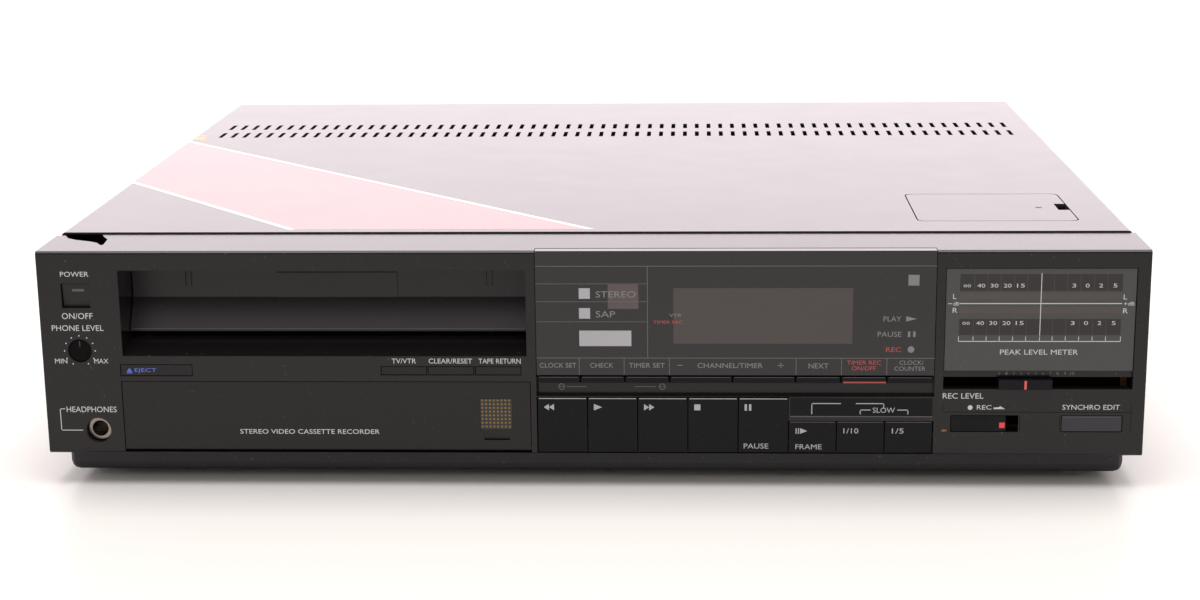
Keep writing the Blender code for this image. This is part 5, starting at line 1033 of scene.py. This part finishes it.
screws = bmesh.new()
for x, z in PANEL_SCREWS:
    add_rear_disc(screws, across(x), down(z), SCREW_RADIUS, rear_face, rear_face + SCREW_HEIGHT)
piece("rear_screws", screws, finish("screw_steel", SCREW_COLOUR, 0.35, metallic=1.0, mottle=0.2),
      edge=0.35)
slots = bmesh.new()
for x, z in PANEL_SCREWS:
    for turned in (0, 1):
        size = (SLOT_LENGTH, SLOT_WIDTH) if turned else (SLOT_WIDTH, SLOT_LENGTH)
        place = (across(x), rear_face + SCREW_HEIGHT, down(z))
        bmesh.ops.create_cube(slots, size=1.0, matrix=Matrix.Translation(place)
                              @ Matrix.Diagonal((size[0], SLOT_THICKNESS, size[1], 1.0)))
piece("rear_screw_slots", slots, finish("slot_black", (0.01, 0.01, 0.01), 0.6))

# Deck and tape transport
# The deck, lift and basket are zinc-plated steel pressings, and the drum is turned aluminium alloy.
# The reel tables are black mouldings with three drive splines, and the flywheel is brass.
ZINC_COLOUR = (0.50, 0.485, 0.43)
ALLOY_COLOUR = (0.66, 0.66, 0.66)
BRASS_COLOUR = (0.62, 0.45, 0.20)
SPLINE_COUNT = 3
DRUM_SCREWS = 3
DRUM_SCREW_CIRCLE = 17.0

zinc = finish("zinc_plate", ZINC_COLOUR, 0.34, metallic=1.0, grain=2.2, grain_depth=0.008,
              mottle=0.15)
alloy = finish("turned_alloy", ALLOY_COLOUR, 0.2, metallic=1.0, grain=0.25, grain_depth=0.004,
               mottle=0.05)
brass = finish("brass", BRASS_COLOUR, 0.25, metallic=1.0, grain=0.3, grain_depth=0.004)
dress("mechanism_deck", zinc, edge=0.15)
dress("lift_frame", zinc, edge=0.12)
dress("lift_carriage", zinc, edge=0.12)
dress("cassette_basket", sheet_steel, edge=0.1)
dress("threading_ring", alloy, edge=0.2)
dress("drum_lower", alloy, edge=0.3)
dress("drum_upper", alloy, edge=0.3)
dress("supply_reel", well_plastic, edge=0.25)
dress("takeup_reel", well_plastic, edge=0.25)
dress("capstan_flywheel", brass, edge=0.2)


def middle_of(name):
    """Middle of a CAD node seen from above, and its top."""
    low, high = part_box(name)
    return (low.x + high.x) / 2, (low.y + high.y) / 2, high.z


def add_upright(mesh, x, y, radius, start, end, facets=16):
    """Upright round post, all sizes in metres."""
    bmesh.ops.create_cone(mesh, cap_ends=True, segments=facets, radius1=radius, radius2=radius,
                          depth=end - start,
                          matrix=Matrix.Translation((x, y, (start + end) / 2)))


for name in ("supply_reel", "takeup_reel"):
    x, y, top = middle_of(name)
    splines = bmesh.new()
    for index in range(SPLINE_COUNT):
        angle = math.tau * index / SPLINE_COUNT
        turned = Matrix.Translation((x, y, top - 0.0016)) @ Matrix.Rotation(angle, 4, "Z")
        bmesh.ops.create_cube(splines, size=1.0, matrix=turned
                              @ Matrix.Translation((0.0072, 0.0, 0.0))
                              @ Matrix.Diagonal((0.0022, 0.0016, 0.0030, 1.0)))
    piece(f"{name}_splines", splines, well_plastic, body=name, edge=0.15)
x, y, _ = middle_of("drum_upper")
drum_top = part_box("drum_upper")[1].z - 0.0030
heads = bmesh.new()
for index in range(DRUM_SCREWS):
    angle = math.tau * index / DRUM_SCREWS
    add_upright(heads, x + DRUM_SCREW_CIRCLE * MILLIMETRE * math.cos(angle),
                y + DRUM_SCREW_CIRCLE * MILLIMETRE * math.sin(angle), 0.0024, drum_top - 0.0001,
                drum_top + 0.0012)
piece("drum_screws", heads, brass, body="drum_upper", edge=0.2)

# Transformer and board parts
# The transformer is a stack of varnished laminations round a taped winding.
# The main board carries rows of small parts between the large ones.
CHIP_SIZE = (0.016, 0.006, 0.0032)
CHIP_SHARES = ((0.20, 0.36), (0.34, 0.36), (0.62, 0.34), (0.76, 0.36), (0.24, 0.80), (0.40, 0.80),
               (0.56, 0.86))

dress("power_transformer", finish("laminations", (0.050, 0.042, 0.036), 0.45, metallic=0.4,
                                  grain=0.8, grain_depth=0.05, mottle=0.3), edge=0.3)
board_low, board_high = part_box("main_board")
board_top = board_low.z + 0.0016
chips = bmesh.new()
for across_share, deep_share in CHIP_SHARES:
    corner = (board_low.x + across_share * (board_high.x - board_low.x),
              board_low.y + deep_share * (board_high.y - board_low.y),
              board_top + CHIP_SIZE[2] / 2 - 0.0001)
    bmesh.ops.create_cube(chips, size=1.0,
                          matrix=Matrix.Translation(corner) @ Matrix.Diagonal((*CHIP_SIZE, 1.0)))
piece("board_chips", chips, well_plastic, edge=0.2)
